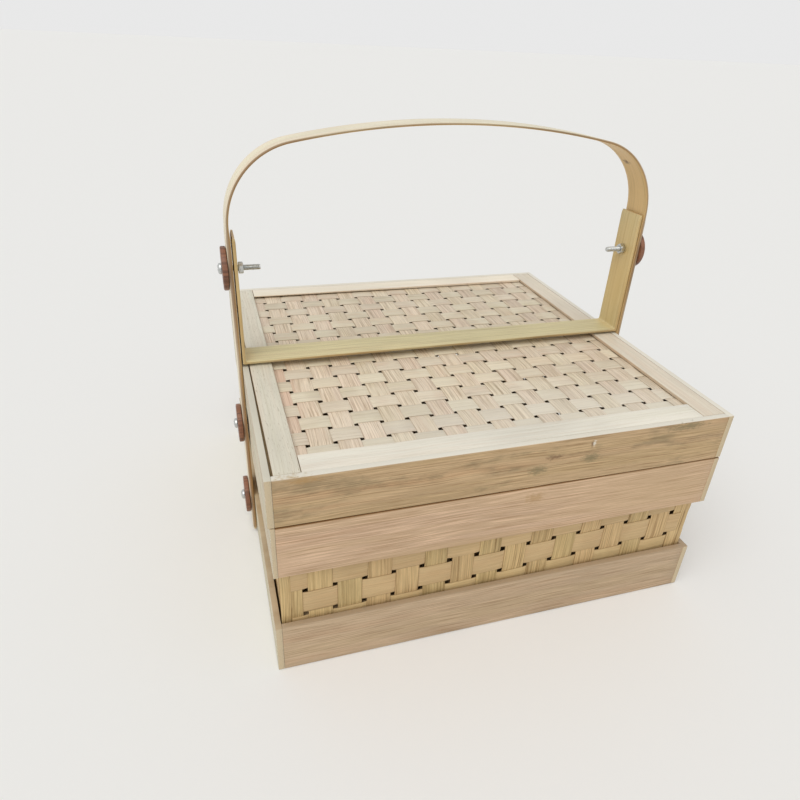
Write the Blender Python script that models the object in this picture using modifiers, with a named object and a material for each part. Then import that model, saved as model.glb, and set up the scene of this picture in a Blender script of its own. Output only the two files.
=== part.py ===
"""Square woven bamboo carrying basket with a flush lid, an arch handle and a swing-over strap.

Lengths are metres and +Z is up. X runs left to right, Y front to back, and the origin is on
the ground under the middle of the box. The box stands on the lower edges of its bottom slats.
"""

import math

import bmesh
import bpy
from mathutils import Matrix, Vector, kdtree

# Box, outside sizes
BOX_WIDTH = 0.300
BOX_DEPTH = 0.291
BODY_HEIGHT = 0.1160
LID_HEIGHT = 0.0331
SEAT_GAP = 0.0003  # between two pieces that touch

# Flat outer slats of the body and the lid
SLAT_THICKNESS = 0.0040
SLAT_ROUNDING = 0.0006
TOP_SLAT_HEIGHT = 0.0370
BOTTOM_SLAT_HEIGHT = 0.0371

# Split bamboo strips of the mats
STRIP_THICKNESS = 0.0008
NARROWEST_SHARE = 0.3  # a strip cut narrower than this share of its width is left out

# Body walls: upright stakes with weavers round them
WALL_STAKE_PITCH = 0.01865
WALL_STAKE_SPACE = 0.0046
WALL_WEAVER_PITCH = 0.0195
WALL_WEAVER_SPACE = 0.0026
WALL_MIDDLE_WEAVER_HEIGHT = 0.0540
WALL_WEAVERS = 3
STAKE_FOOT_HEIGHT = 0.0010

# Inner bands that clamp the wall mats against the slats
BAND_THICKNESS = 0.0030
LIP_HEIGHT = 0.0100  # mat and rim band stand above the body and locate the lid

# Floor
FLOOR_STRIP_PITCH = 0.0470
FLOOR_STRIP_SPACE = 0.0030
FLOOR_BATTEN_WIDTH = 0.0200
FLOOR_BATTEN_THICKNESS = 0.0050

# Lid
RAIL_WIDTH = 0.0160
RAIL_THICKNESS = 0.0024
RAIL_ROUNDING = 0.0008
LID_WARP_PITCH = 0.0162
LID_WARP_SPACE = 0.0024
LID_WEFT_PITCH = 0.0162
LID_WEFT_SPACE = 0.0028
LID_BATTEN_WIDTH = 0.0100
LID_BATTEN_THICKNESS = 0.0050

# Arch handle
ARCH_RISE = 0.1584  # lid's top to the outside of the crown
STRAP_WIDTH = 0.0280  # also the retaining strap's
ARCH_THICKNESS = 0.0028
SHOULDER_RADIUS = 0.0530  # outside
CROWN_RADIUS = 0.5600  # outside
ARM_FOOT_HEIGHT = 0.0030

# Retaining strap that swings over the lid
RETAINER_THICKNESS = 0.0030
RETAINER_SIDE_CLEARANCE = 0.0005  # from the arms of the arch
RETAINER_LID_CLEARANCE = 0.0003  # under the crossbar's edges as they swing off the lid
RETAINER_CORNER_RADIUS = 0.0060  # middle of the thickness
RETAINER_HORN = 0.0280  # the legs' ends above the pivot
PIVOT_DROP = 0.0912  # outside of the crown to the pivot

# Bolts, nuts and wooden washers
FOOT_BOLT_DROP = 0.0064  # bottom slat's top edge to the bolt
BOLT_RADIUS = 0.0019
BOLT_LENGTH = 0.0250  # under the head
BOLT_HEAD_RADIUS = 0.0037
BOLT_HEAD_HEIGHT = 0.0025
NUT_WIDTH = 0.0070  # across flats
NUT_THICKNESS = 0.0032
WASHER_RADIUS = 0.0143
WASHER_THICKNESS = 0.0035
WASHER_ROUNDING = 0.0008

# Counts that set how finely round forms are divided
BORE_SIDES = 12
BOLT_SIDES = 12
WASHER_SIDES = 16
DOME_STEPS = 3
SHOULDER_STEPS = 9
CROWN_STEPS = 14
CORNER_STEPS = 4

# Colour as red, green, blue, then roughness, then metallic
FINISHES = {
    "rail_bamboo": ((0.72, 0.62, 0.47), 0.55, 0.0),
    "skirt_bamboo": ((0.42, 0.30, 0.17), 0.62, 0.0),
    "slat_bamboo": ((0.56, 0.39, 0.25), 0.60, 0.0),
    "band_bamboo": ((0.60, 0.47, 0.30), 0.58, 0.0),
    "lid_weave": ((0.66, 0.53, 0.36), 0.58, 0.0),
    "wall_weave": ((0.50, 0.37, 0.21), 0.66, 0.0),
    "strap_bamboo": ((0.53, 0.42, 0.18), 0.50, 0.0),
    "arch_bamboo": ((0.66, 0.46, 0.25), 0.48, 0.0),
    "washer_wood": ((0.20, 0.08, 0.04), 0.45, 0.0),
    "zinc_steel": ((0.72, 0.73, 0.72), 0.30, 1.0),
}

HALF_WIDTH = BOX_WIDTH / 2
HALF_DEPTH = BOX_DEPTH / 2
LID_BASE = BODY_HEIGHT + SEAT_GAP
LID_TOP = BODY_HEIGHT + LID_HEIGHT
RAIL_BASE = LID_TOP - RAIL_THICKNESS
ARCH_HEIGHT = LID_TOP + ARCH_RISE
PIVOT_HEIGHT = ARCH_HEIGHT - PIVOT_DROP
SLAT_BOLT_HEIGHT = BODY_HEIGHT - TOP_SLAT_HEIGHT / 2
FOOT_BOLT_HEIGHT = BOTTOM_SLAT_HEIGHT - FOOT_BOLT_DROP
INSIDE_SLAT = SLAT_THICKNESS + SEAT_GAP  # depth of a seat behind the slats' outer face
MAT_THICKNESS = 3 * STRIP_THICKNESS  # a warp with a weft over it or under it
MAT_INNER_DEPTH = INSIDE_SLAT + MAT_THICKNESS
BAND_OUTER_DEPTH = MAT_INNER_DEPTH + SEAT_GAP
BAND_INNER_DEPTH = BAND_OUTER_DEPTH + BAND_THICKNESS
BORE_RADIUS = (BOLT_RADIUS + SEAT_GAP) / math.cos(math.pi / BORE_SIDES)
ARM_INNER = HALF_WIDTH + SEAT_GAP
ARM_OUTER = ARM_INNER + ARCH_THICKNESS
WASHER_INNER = ARM_OUTER + SEAT_GAP
BOLT_SEAT = WASHER_INNER + WASHER_THICKNESS + SEAT_GAP
LEG_OUTER = ARM_INNER - RETAINER_SIDE_CLEARANCE


def clear_scene():
    """Remove every object that the file opened with."""
    for old in list(bpy.data.objects):
        bpy.data.objects.remove(old, do_unlink=True)


def new_collection(name):
    """Return an empty collection linked to the scene."""
    collection = bpy.data.collections.new(name)
    bpy.context.scene.collection.children.link(collection)
    return collection


def give_finish(piece, finish):
    """Give a piece its own material in one of the named finishes."""
    colour, roughness, metallic = FINISHES[finish]
    material = bpy.data.materials.new(piece.name + "_finish")
    material.use_nodes = True
    shader = material.node_tree.nodes["Principled BSDF"]
    shader.inputs["Base Color"].default_value = (*colour, 1.0)
    shader.inputs["Roughness"].default_value = roughness
    shader.inputs["Metallic"].default_value = metallic
    piece.data.materials.clear()
    piece.data.materials.append(material)


def object_from_bmesh(name, shape, collection):
    """Turn a bmesh into a named object in a collection, and free the bmesh."""
    mesh = bpy.data.meshes.new(name)
    shape.to_mesh(mesh)
    shape.free()
    piece = bpy.data.objects.new(name, mesh)
    collection.objects.link(piece)
    return piece


def plank(name, low, high, finish, collection, crown=None, rounding=SLAT_ROUNDING):
    """Make a straight slat between two corners, its crowned face's long edges rounded.

    crown is the axis letter and sign of the face that shows, such as ("z", 1).
    """
    low, high = Vector(low), Vector(high)
    size = high - low
    shape = bmesh.new()
    bmesh.ops.create_cube(shape, size=1.0, matrix=Matrix.Diagonal((*size, 1.0)))
    if crown:
        face_axis, sign = "xyz".index(crown[0]), crown[1]
        length_axis = max(range(3), key=lambda axis: size[axis])
        long_edges = [
            edge for edge in shape.edges
            if all(vert.co[face_axis] * sign > 0 for vert in edge.verts)
            and edge.verts[0].co[length_axis] * edge.verts[1].co[length_axis] < 0
        ]
        bmesh.ops.bevel(shape, geom=long_edges, offset=rounding, offset_type="OFFSET",
                        segments=2, affect="EDGES")
    piece = object_from_bmesh(name, shape, collection)
    piece.location = (low + high) / 2
    give_finish(piece, finish)
    return piece


def strip_limits(half_span, pitch, space, strip_in_middle):
    """Return the low and high edge of each strip set at a pitch about the middle.

    The outermost strips are trimmed to the span, as the weaver trims them.
    """
    width = pitch - space
    count = math.ceil(half_span / pitch) + 1
    shift = 0.0 if strip_in_middle else 0.5
    limits = []
    for step in range(-count, count + 1):
        centre = (step + shift) * pitch
        low = max(centre - width / 2, -half_span)
        high = min(centre + width / 2, half_span)
        if high - low >= NARROWEST_SHARE * width:
            limits.append((low, high))
    return limits


def strip_path(crossings, ends, heights):
    """Return the (along, out) points of a strip, flat on each crossing and sloped between."""
    points = []
    for (low, high), height in zip(crossings, heights):
        points += [(low, height), (high, height)]
    if ends[0] < points[0][0] - SEAT_GAP:
        points.insert(0, (ends[0], points[0][1]))
    if ends[1] > points[-1][0] + SEAT_GAP:
        points.append((ends[1], points[-1][1]))
    return points


def add_strip(shape, points, edges_across, along, across, out):
    """Add one strip: its path swept across to a ribbon, and the ribbon raised to a solid."""
    low, high = edges_across
    rise = out * STRIP_THICKNESS / 2
    verts = [shape.verts.new(along * s + across * low + out * h - rise) for s, h in points]
    edges = [shape.edges.new(pair) for pair in zip(verts, verts[1:])]
    swept = bmesh.ops.extrude_edge_only(shape, edges=edges)["geom"]
    moved = [part for part in swept if isinstance(part, bmesh.types.BMVert)]
    ribbon = [part for part in swept if isinstance(part, bmesh.types.BMFace)]
    bmesh.ops.translate(shape, vec=across * (high - low), verts=moved)
    raised = bmesh.ops.extrude_face_region(shape, geom=ribbon, use_keep_orig=True)["geom"]
    moved = [part for part in raised if isinstance(part, bmesh.types.BMVert)]
    bmesh.ops.translate(shape, vec=2 * rise, verts=moved)


def join_crossings(shape):
    """Join strips where they lie on one another, so that the whole mat is one body."""
    faces = list(shape.faces)
    tree = kdtree.KDTree(len(faces))
    for index, face in enumerate(faces):
        tree.insert(face.calc_center_median(), index)
    tree.balance()
    reach = STRIP_THICKNESS / 100
    touching = [
        face for face in faces if len(tree.find_range(face.calc_center_median(), reach)) > 1
    ]
    bmesh.ops.delete(shape, geom=touching, context="FACES_ONLY")
    bmesh.ops.remove_doubles(shape, verts=shape.verts, dist=reach)
    bmesh.ops.recalc_face_normals(shape, faces=shape.faces)


def woven_mat(name, warps, wefts, warp_ends, weft_ends, directions, origin, finish,
              collection, corner=1):
    """Make a plain-woven mat: flat warps with wefts that go over one and under the next.

    warps and wefts hold each strip's low and high edge, and the ends say how far they run.
    directions are those of the wefts, the warps and the mat's outer face. corner is 1 where
    the first weft goes over the first warp, and -1 where it goes under.
    """
    weft_way, warp_way, out = (Vector(direction) for direction in directions)
    shape = bmesh.new()
    for edges in warps:
        flat = [0.0] * len(wefts)
        add_strip(shape, strip_path(wefts, warp_ends, flat), edges, warp_way, weft_way, out)
    for row, edges in enumerate(wefts):
        heights = [corner * over_under(column, row) * STRIP_THICKNESS
                   for column in range(len(warps))]
        add_strip(shape, strip_path(warps, weft_ends, heights), edges, weft_way, warp_way, out)
    join_crossings(shape)
    mat = object_from_bmesh(name, shape, collection)
    mat.location = origin
    give_finish(mat, finish)
    return mat


def over_under(column, row):
    """Return 1 where the weft lies on the side that it takes at the corner, else -1."""
    return 1 if (column + row) % 2 == 0 else -1


def thicken(piece, thickness):
    """Give an open surface its thickness, half to each side."""
    solidify = piece.modifiers.new("Thickness", "SOLIDIFY")
    solidify.thickness = thickness
    solidify.offset = 0.0
    solidify.use_even_offset = True


def bore(piece, cutter):
    """Cut a bolt's clearance hole through a piece."""
    cut = piece.modifiers.new("Bore", "BOOLEAN")
    cut.operation = "DIFFERENCE"
    cut.solver = "EXACT"
    cut.object = cutter


def cylinder(name, sides, radius, length, centre, collection):
    """Make a cylinder primitive that lies along X."""
    bpy.ops.mesh.primitive_cylinder_add(vertices=sides, radius=radius, depth=length)
    piece = bpy.context.object
    piece.name = name
    piece.data.name = name
    piece.data.transform(Matrix.Rotation(math.pi / 2, 4, "Y"))
    piece.location = centre
    for owner in list(piece.users_collection):
        owner.objects.unlink(piece)
    collection.objects.link(piece)
    return piece


def make_bores(cutters):
    """Make one cutter for each bolt axis, right across the basket."""
    heights = {"pivot": PIVOT_HEIGHT, "slat": SLAT_BOLT_HEIGHT, "foot": FOOT_BOLT_HEIGHT}
    bores = {}
    for place, height in heights.items():
        cutter = cylinder(place + "_bore", BORE_SIDES, BORE_RADIUS, 2 * BOX_WIDTH,
                          (0, 0, height), cutters)
        cutter.hide_render = True
        cutter.display_type = "WIRE"
        bores[place] = cutter
    return bores


def frame_of_four(suffix, thickness, outer_x, outer_y, base, top, finish, collection,
                  sides_outside=True, rounded=False):
    """Make four upright slats round a rectangle, named by side.

    outer_x and outer_y are the outer faces' distances from the middle. The left and right
    slats cover the ends of the front and back ones, or the other way round.
    """
    seat_x = outer_x - thickness - SEAT_GAP if sides_outside else outer_x
    seat_y = outer_y if sides_outside else outer_y - thickness - SEAT_GAP
    pieces = {}
    for side, sign in (("left", -1), ("right", 1)):
        edges = sorted((sign * outer_x, sign * (outer_x - thickness)))
        pieces[side] = plank(side + suffix, (edges[0], -seat_y, base), (edges[1], seat_y, top),
                             finish, collection, ("x", sign) if rounded else None)
    for side, sign in (("front", -1), ("back", 1)):
        edges = sorted((sign * outer_y, sign * (outer_y - thickness)))
        pieces[side] = plank(side + suffix, (-seat_x, edges[0], base), (seat_x, edges[1], top),
                             finish, collection, ("y", sign) if rounded else None)
    return pieces


def make_body_frame(collection, bores):
    """Make the outer slats and the inner bands that clamp the wall mats."""
    upper_base = BODY_HEIGHT - TOP_SLAT_HEIGHT
    upper = frame_of_four("_top_slat", SLAT_THICKNESS, HALF_WIDTH, HALF_DEPTH, upper_base,
                          BODY_HEIGHT, "slat_bamboo", collection, rounded=True)
    lower = frame_of_four("_bottom_slat", SLAT_THICKNESS, HALF_WIDTH, HALF_DEPTH, 0,
                          BOTTOM_SLAT_HEIGHT, "slat_bamboo", collection, rounded=True)
    band_x = HALF_WIDTH - BAND_OUTER_DEPTH
    band_y = HALF_DEPTH - BAND_OUTER_DEPTH
    rim = frame_of_four("_rim_band", BAND_THICKNESS, band_x, band_y, upper_base,
                        BODY_HEIGHT + LIP_HEIGHT, "band_bamboo", collection,
                        sides_outside=False)
    floor_top = FLOOR_BATTEN_THICKNESS + SEAT_GAP + MAT_THICKNESS
    foot = frame_of_four("_foot_band", BAND_THICKNESS, band_x, band_y, floor_top + SEAT_GAP,
                         BOTTOM_SLAT_HEIGHT, "band_bamboo", collection, sides_outside=False)
    for side in ("left", "right"):
        bore(upper[side], bores["slat"])
        bore(rim[side], bores["slat"])
        bore(lower[side], bores["foot"])
        bore(foot[side], bores["foot"])


def make_wall_mats(collection, bores):
    """Make each wall's mat: upright stakes with weavers that go over and under them."""
    mid_depth = INSIDE_SLAT + MAT_THICKNESS / 2
    span_x = HALF_WIDTH - INSIDE_SLAT
    span_y = HALF_DEPTH - MAT_INNER_DEPTH - SEAT_GAP
    half_row = (WALL_WEAVER_PITCH - WALL_WEAVER_SPACE) / 2
    weavers = []
    for row in range(WALL_WEAVERS):
        step = row - (WALL_WEAVERS - 1) / 2
        middle = WALL_MIDDLE_WEAVER_HEIGHT + step * WALL_WEAVER_PITCH
        weavers.append((middle - half_row, middle + half_row))
    walls = {
        "front": ((1, 0, 0), (0, -1, 0), span_x, HALF_DEPTH),
        "back": ((-1, 0, 0), (0, 1, 0), span_x, HALF_DEPTH),
        "left": ((0, -1, 0), (-1, 0, 0), span_y, HALF_WIDTH),
        "right": ((0, 1, 0), (1, 0, 0), span_y, HALF_WIDTH),
    }
    for side, (along, out, half_span, outer) in walls.items():
        stakes = strip_limits(half_span, WALL_STAKE_PITCH, WALL_STAKE_SPACE, False)
        mat = woven_mat(side + "_wall_mat", stakes, weavers,
                        (STAKE_FOOT_HEIGHT, BODY_HEIGHT + LIP_HEIGHT), (-half_span, half_span),
                        (along, (0, 0, 1), out), Vector(out) * (outer - mid_depth),
                        "wall_weave", collection)
        if side in ("left", "right"):
            bore(mat, bores["slat"])
            bore(mat, bores["foot"])


def make_floor(collection):
    """Make the floor mat and the three battens that it rests on."""
    span_x = HALF_WIDTH - BAND_OUTER_DEPTH
    span_y = HALF_DEPTH - BAND_OUTER_DEPTH
    middle = FLOOR_BATTEN_THICKNESS + SEAT_GAP + MAT_THICKNESS / 2
    warps = strip_limits(span_x, FLOOR_STRIP_PITCH, FLOOR_STRIP_SPACE, False)
    wefts = strip_limits(span_y, FLOOR_STRIP_PITCH, FLOOR_STRIP_SPACE, False)
    woven_mat("floor_mat", warps, wefts, (-span_y, span_y), (-span_x, span_x),
              ((1, 0, 0), (0, 1, 0), (0, 0, 1)), (0, 0, middle), "wall_weave", collection)
    reach = span_y - FLOOR_BATTEN_WIDTH / 2
    for place, centre in (("front", -reach), ("middle", 0), ("back", reach)):
        plank(f"floor_{place}_batten", (-span_x, centre - FLOOR_BATTEN_WIDTH / 2, 0),
              (span_x, centre + FLOOR_BATTEN_WIDTH / 2, FLOOR_BATTEN_THICKNESS),
              "slat_bamboo", collection)


def make_lid_mat(collection):
    """Make the lid's mat, and return the height of its underside."""
    span_x = HALF_WIDTH - INSIDE_SLAT
    span_y = HALF_DEPTH - INSIDE_SLAT
    middle = RAIL_BASE - SEAT_GAP - MAT_THICKNESS / 2
    warps = strip_limits(span_x - LID_BATTEN_WIDTH, LID_WARP_PITCH, LID_WARP_SPACE, True)
    wefts = strip_limits(span_y - LID_BATTEN_WIDTH, LID_WEFT_PITCH, LID_WEFT_SPACE, False)
    woven_mat("lid_mat", warps, wefts, (-span_y, span_y), (-span_x, span_x),
              ((1, 0, 0), (0, 1, 0), (0, 0, 1)), (0, 0, middle), "lid_weave", collection,
              corner=-1)
    return middle - MAT_THICKNESS / 2


def make_lid_frame(collection, mat_base):
    """Make the lid's skirt, the rails inside its rim and the battens under the mat."""
    frame_of_four("_lid_skirt", SLAT_THICKNESS, HALF_WIDTH, HALF_DEPTH, LID_BASE, LID_TOP,
                  "skirt_bamboo", collection, rounded=True)
    inner_x = HALF_WIDTH - INSIDE_SLAT
    inner_y = HALF_DEPTH - INSIDE_SLAT
    batten_top = mat_base - SEAT_GAP
    frame_of_four("_lid_batten", LID_BATTEN_WIDTH, inner_x, inner_y,
                  batten_top - LID_BATTEN_THICKNESS, batten_top, "slat_bamboo", collection)
    butt = inner_x - RAIL_WIDTH - SEAT_GAP
    for side, sign in (("left", -1), ("right", 1)):
        edges = sorted((sign * inner_x, sign * (inner_x - RAIL_WIDTH)))
        plank(side + "_lid_rail", (edges[0], -inner_y, RAIL_BASE),
              (edges[1], inner_y, LID_TOP), "rail_bamboo", collection, ("z", 1),
              RAIL_ROUNDING)
    for side, sign in (("front", -1), ("back", 1)):
        edges = sorted((sign * inner_y, sign * (inner_y - RAIL_WIDTH)))
        plank(side + "_lid_rail", (-butt, edges[0], RAIL_BASE), (butt, edges[1], LID_TOP),
              "rail_bamboo", collection, ("z", 1), RAIL_ROUNDING)


def arc(centre, radius, start, end, steps):
    """Return (x, z) points on an arc, both ends included, angles in radians from +X."""
    angles = (start + (end - start) * step / steps for step in range(steps + 1))
    return [(centre[0] + radius * math.cos(a), centre[1] + radius * math.sin(a))
            for a in angles]


def bent_strap(name, half_path, thickness, pivot_height, finish, collection):
    """Make a symmetric flat strap from the (x, z) points of its right half, low or outer first."""
    path = half_path + [(-x, z) for x, z in reversed(half_path) if x > 0]
    shape = bmesh.new()
    verts = [shape.verts.new((x, -STRAP_WIDTH / 2, z - pivot_height)) for x, z in path]
    edges = [shape.edges.new(pair) for pair in zip(verts, verts[1:])]
    swept = bmesh.ops.extrude_edge_only(shape, edges=edges)
    moved = [part for part in swept["geom"] if isinstance(part, bmesh.types.BMVert)]
    bmesh.ops.translate(shape, vec=(0, STRAP_WIDTH, 0), verts=moved)
    piece = object_from_bmesh(name, shape, collection)
    piece.location = (0, 0, pivot_height)
    thicken(piece, thickness)
    give_finish(piece, finish)
    return piece


def make_arch(collection, bores):
    """Make the handle: straight arms up the sides, round shoulders and a low crown."""
    half = ARCH_THICKNESS / 2
    shoulder = SHOULDER_RADIUS - half
    crown = CROWN_RADIUS - half
    shoulder_x = ARM_OUTER - SHOULDER_RADIUS
    crown_z = ARCH_HEIGHT - CROWN_RADIUS
    meet = math.acos(shoulder_x / (CROWN_RADIUS - SHOULDER_RADIUS))
    shoulder_z = crown_z + (CROWN_RADIUS - SHOULDER_RADIUS) * math.sin(meet)
    path = [(ARM_OUTER - half, ARM_FOOT_HEIGHT)]
    path += arc((shoulder_x, shoulder_z), shoulder, 0, meet, SHOULDER_STEPS)
    path += arc((0, crown_z), crown, meet, math.pi / 2, CROWN_STEPS // 2)[1:-1]
    path.append((0, crown_z + crown))
    arch = bent_strap("handle_arch", path, ARCH_THICKNESS, 0, "arch_bamboo", collection)
    for cutter in bores.values():
        bore(arch, cutter)


def make_retaining_strap(collection, bores):
    """Make the strap that hangs from the pivot bolts and lies across the lid."""
    half = RETAINER_THICKNESS / 2
    leg_x = LEG_OUTER - half
    corner_swing = PIVOT_HEIGHT - LID_TOP - RETAINER_LID_CLEARANCE
    bar_z = PIVOT_HEIGHT - math.sqrt(corner_swing ** 2 - (STRAP_WIDTH / 2) ** 2) + half
    radius = RETAINER_CORNER_RADIUS
    path = [(leg_x, PIVOT_HEIGHT + RETAINER_HORN)]
    path += arc((leg_x - radius, bar_z + radius), radius, 0, -math.pi / 2, CORNER_STEPS)
    strap = bent_strap("retaining_strap", path, RETAINER_THICKNESS, PIVOT_HEIGHT,
                       "strap_bamboo", collection)
    bore(strap, bores["pivot"])


def make_washers(collection, bores):
    """Make the round wooden washer under each bolt's head."""
    for side, sign in (("left", -1), ("right", 1)):
        for place, cutter in bores.items():
            centre = (sign * (WASHER_INNER + WASHER_THICKNESS / 2), 0, cutter.location.z)
            washer = cylinder(f"{side}_{place}_washer", WASHER_SIDES, WASHER_RADIUS,
                              WASHER_THICKNESS, centre, collection)
            bore(washer, cutter)
            edge = washer.modifiers.new("Rounding", "BEVEL")
            edge.width = WASHER_ROUNDING
            edge.segments = 1
            edge.limit_method = "ANGLE"
            washer.modifiers.move(1, 0)
            washer.data.shade_smooth()
            washer.data.set_sharp_from_angle(angle=math.pi / 6)
            give_finish(washer, "washer_wood")


def bolt_mesh(cutters):
    """Return the mesh of a bolt that points down Z from its seat, by turning a profile."""
    profile = []
    for step in range(DOME_STEPS + 1):
        angle = math.pi / 2 * step / DOME_STEPS
        profile.append((BOLT_HEAD_RADIUS * math.sin(angle), 0,
                        BOLT_HEAD_HEIGHT * math.cos(angle)))
    profile += [(BOLT_RADIUS, 0, 0), (BOLT_RADIUS, 0, -BOLT_LENGTH), (0, 0, -BOLT_LENGTH)]
    mesh = bpy.data.meshes.new("bolt_profile")
    mesh.from_pydata(profile, [(i, i + 1) for i in range(len(profile) - 1)], [])
    guide = bpy.data.objects.new("bolt_profile", mesh)
    cutters.objects.link(guide)
    turn = guide.modifiers.new("Turn", "SCREW")
    turn.steps = BOLT_SIDES
    turn.render_steps = BOLT_SIDES
    turn.use_merge_vertices = True
    turn.merge_threshold = SEAT_GAP / 10
    turned = evaluated_mesh(guide, "bolt")
    bpy.data.objects.remove(guide, do_unlink=True)
    return turned


def nut_mesh(cutters):
    """Return the mesh of a nut centred on the origin, its bore along X."""
    corner_radius = NUT_WIDTH / 2 / math.cos(math.pi / 6)
    guide = cylinder("nut_guide", 6, corner_radius, NUT_THICKNESS, (0, 0, 0), cutters)
    hole = cylinder("nut_bore", BORE_SIDES, BORE_RADIUS, 2 * NUT_THICKNESS, (0, 0, 0), cutters)
    bore(guide, hole)
    mesh = evaluated_mesh(guide, "nut")
    bpy.data.objects.remove(guide, do_unlink=True)
    bpy.data.objects.remove(hole, do_unlink=True)
    return mesh


def evaluated_mesh(piece, name):
    """Return a piece's mesh with its modifiers applied."""
    bpy.context.view_layer.update()
    graph = bpy.context.evaluated_depsgraph_get()
    mesh = bpy.data.meshes.new_from_object(piece.evaluated_get(graph), depsgraph=graph)
    mesh.name = name
    return mesh


def fastener(name, mesh, centre, turn, collection):
    """Make one bolt or nut at its place, turned about Y."""
    piece = bpy.data.objects.new(name, mesh.copy())
    piece.data.name = name
    piece.location = centre
    piece.rotation_euler = (0, turn, 0)
    collection.objects.link(piece)
    piece.data.shade_smooth()
    piece.data.set_sharp_from_angle(angle=math.pi / 6)
    give_finish(piece, "zinc_steel")


def make_fasteners(collection, cutters, bores):
    """Make the bolts, heads outside, and the nuts on the inner side of what they clamp."""
    bolt, nut = bolt_mesh(cutters), nut_mesh(cutters)
    band_inner = HALF_WIDTH - BAND_INNER_DEPTH
    inner_faces = {"pivot": LEG_OUTER - RETAINER_THICKNESS, "slat": band_inner, "foot": band_inner}
    for place, inner_face in inner_faces.items():
        height = bores[place].location.z
        nut_x = inner_face - SEAT_GAP - NUT_THICKNESS / 2
        for side, sign in (("left", -1), ("right", 1)):
            fastener(f"{side}_{place}_bolt", bolt, (sign * BOLT_SEAT, 0, height),
                     sign * math.pi / 2, collection)
            fastener(f"{side}_{place}_nut", nut, (sign * nut_x, 0, height), 0, collection)


def main():
    """Build the whole basket."""
    clear_scene()
    basket = new_collection("bamboo_basket")
    cutters = new_collection("cutters")
    bores = make_bores(cutters)
    make_body_frame(basket, bores)
    make_wall_mats(basket, bores)
    make_floor(basket)
    mat_base = make_lid_mat(basket)
    make_lid_frame(basket, mat_base)
    make_arch(basket, bores)
    make_retaining_strap(basket, bores)
    make_washers(basket, bores)
    make_fasteners(basket, cutters, bores)


main()
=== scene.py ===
"""Woven bamboo carrying basket: the look of the basket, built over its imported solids.

Run as a script. Lengths are metres, +Z is up, X runs along the handle and Y front to back.
"""

import math

import bmesh
import bpy
import numpy as np
from mathutils import Euler, Matrix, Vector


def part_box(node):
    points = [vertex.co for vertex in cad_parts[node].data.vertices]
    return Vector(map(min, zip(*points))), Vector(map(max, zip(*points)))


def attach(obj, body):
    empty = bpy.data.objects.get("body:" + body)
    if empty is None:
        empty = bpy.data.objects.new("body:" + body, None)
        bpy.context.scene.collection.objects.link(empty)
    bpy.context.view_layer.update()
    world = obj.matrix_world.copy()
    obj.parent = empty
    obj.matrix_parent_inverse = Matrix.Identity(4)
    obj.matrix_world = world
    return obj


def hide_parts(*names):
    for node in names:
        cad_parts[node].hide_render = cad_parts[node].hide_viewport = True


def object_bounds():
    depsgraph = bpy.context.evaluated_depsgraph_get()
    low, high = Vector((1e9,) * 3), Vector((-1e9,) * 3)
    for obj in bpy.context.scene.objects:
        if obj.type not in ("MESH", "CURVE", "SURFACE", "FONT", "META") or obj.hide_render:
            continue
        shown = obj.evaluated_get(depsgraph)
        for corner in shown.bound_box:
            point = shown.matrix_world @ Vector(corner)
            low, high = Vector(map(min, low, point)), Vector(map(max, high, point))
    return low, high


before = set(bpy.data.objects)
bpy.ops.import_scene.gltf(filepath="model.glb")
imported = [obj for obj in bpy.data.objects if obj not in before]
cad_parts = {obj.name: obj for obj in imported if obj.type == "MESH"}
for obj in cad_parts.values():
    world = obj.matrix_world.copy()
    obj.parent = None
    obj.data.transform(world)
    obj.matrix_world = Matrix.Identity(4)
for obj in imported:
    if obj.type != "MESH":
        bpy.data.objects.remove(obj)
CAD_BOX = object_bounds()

bl_info = {
    "name": "Bamboo Carrying Basket",
    "version": (1, 0, 0),
    "blender": (4, 5, 0),
    "location": "View3D > Sidebar > Basket",
    "description": "Builds a woven bamboo carrying basket with its lid, handle and strap",
    "category": "Add Mesh",
}

SIDES = ("front", "back", "left", "right")
OUTWARD = {"front": (0, -1, 0), "back": (0, 1, 0), "left": (-1, 0, 0), "right": (1, 0, 0)}
ALONG = {"front": (1, 0, 0), "back": (-1, 0, 0), "left": (0, -1, 0), "right": (0, 1, 0)}
SEEDS = {"lid_mat": 11, "wall_mat": 31, "floor_mat": 911, "lid_rail": 40, "lid_skirt": 50,
         "lid_batten": 60, "floor_batten": 300, "handle": 5, "strap": 3}  # for random draws
WAVES = ((0.4, 1.0), (8.0, 60.0), (0.0, 6.28))  # ranges of a wave's strength, speed and start
RING_STEP = 0.006  # from one ring of a slat to the next
BEND_STEP = 0.003  # from one ring of the handle to the next
ROUNDEST = 0.45  # most of a thickness that its rounding may take
MOST_STRIPS = 60  # strips on each side of a mat's middle, before they are trimmed
NARROWEST = 0.3  # least of its width that a trimmed strip keeps
BEND_RINGS = np.array([-1.5, -0.95, -0.5, 0.0, 0.5, 0.95, 1.5])  # in half spaces about a bend
BEND_REACH = 0.65  # part of a space in which a strip rises or falls, on each side of its middle
RISE = 0.55  # height of a strip over or under another, in thicknesses
FOLD_CUT = 0.41  # part of the fold's rounding that comes off a corner's tip
SMALL_MARK = 0.03  # marks with a shorter reach than this are ragged
SKY_TINT, LAMP_TINT, WHITE = (0.965, 0.98, 1.0), (1.0, 0.988, 0.965), (1.0, 1.0, 1.0)


# Sizes and colours

def amount(name, description, default, low=0.0, high=1.0, **more):
    """A plain number property."""
    return bpy.props.FloatProperty(name=name, description=description, default=default,
                                   min=low, max=high, **more)


def length(name, description, default, low=0.0, high=1.0):
    """A length property in metres."""
    return amount(name, description, default, low, high, precision=5, unit="LENGTH")


def angle(name, description, degrees):
    """An angle property, given in degrees."""
    return amount(name, description, math.radians(degrees), -math.pi, math.pi, subtype="ANGLE")


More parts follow.
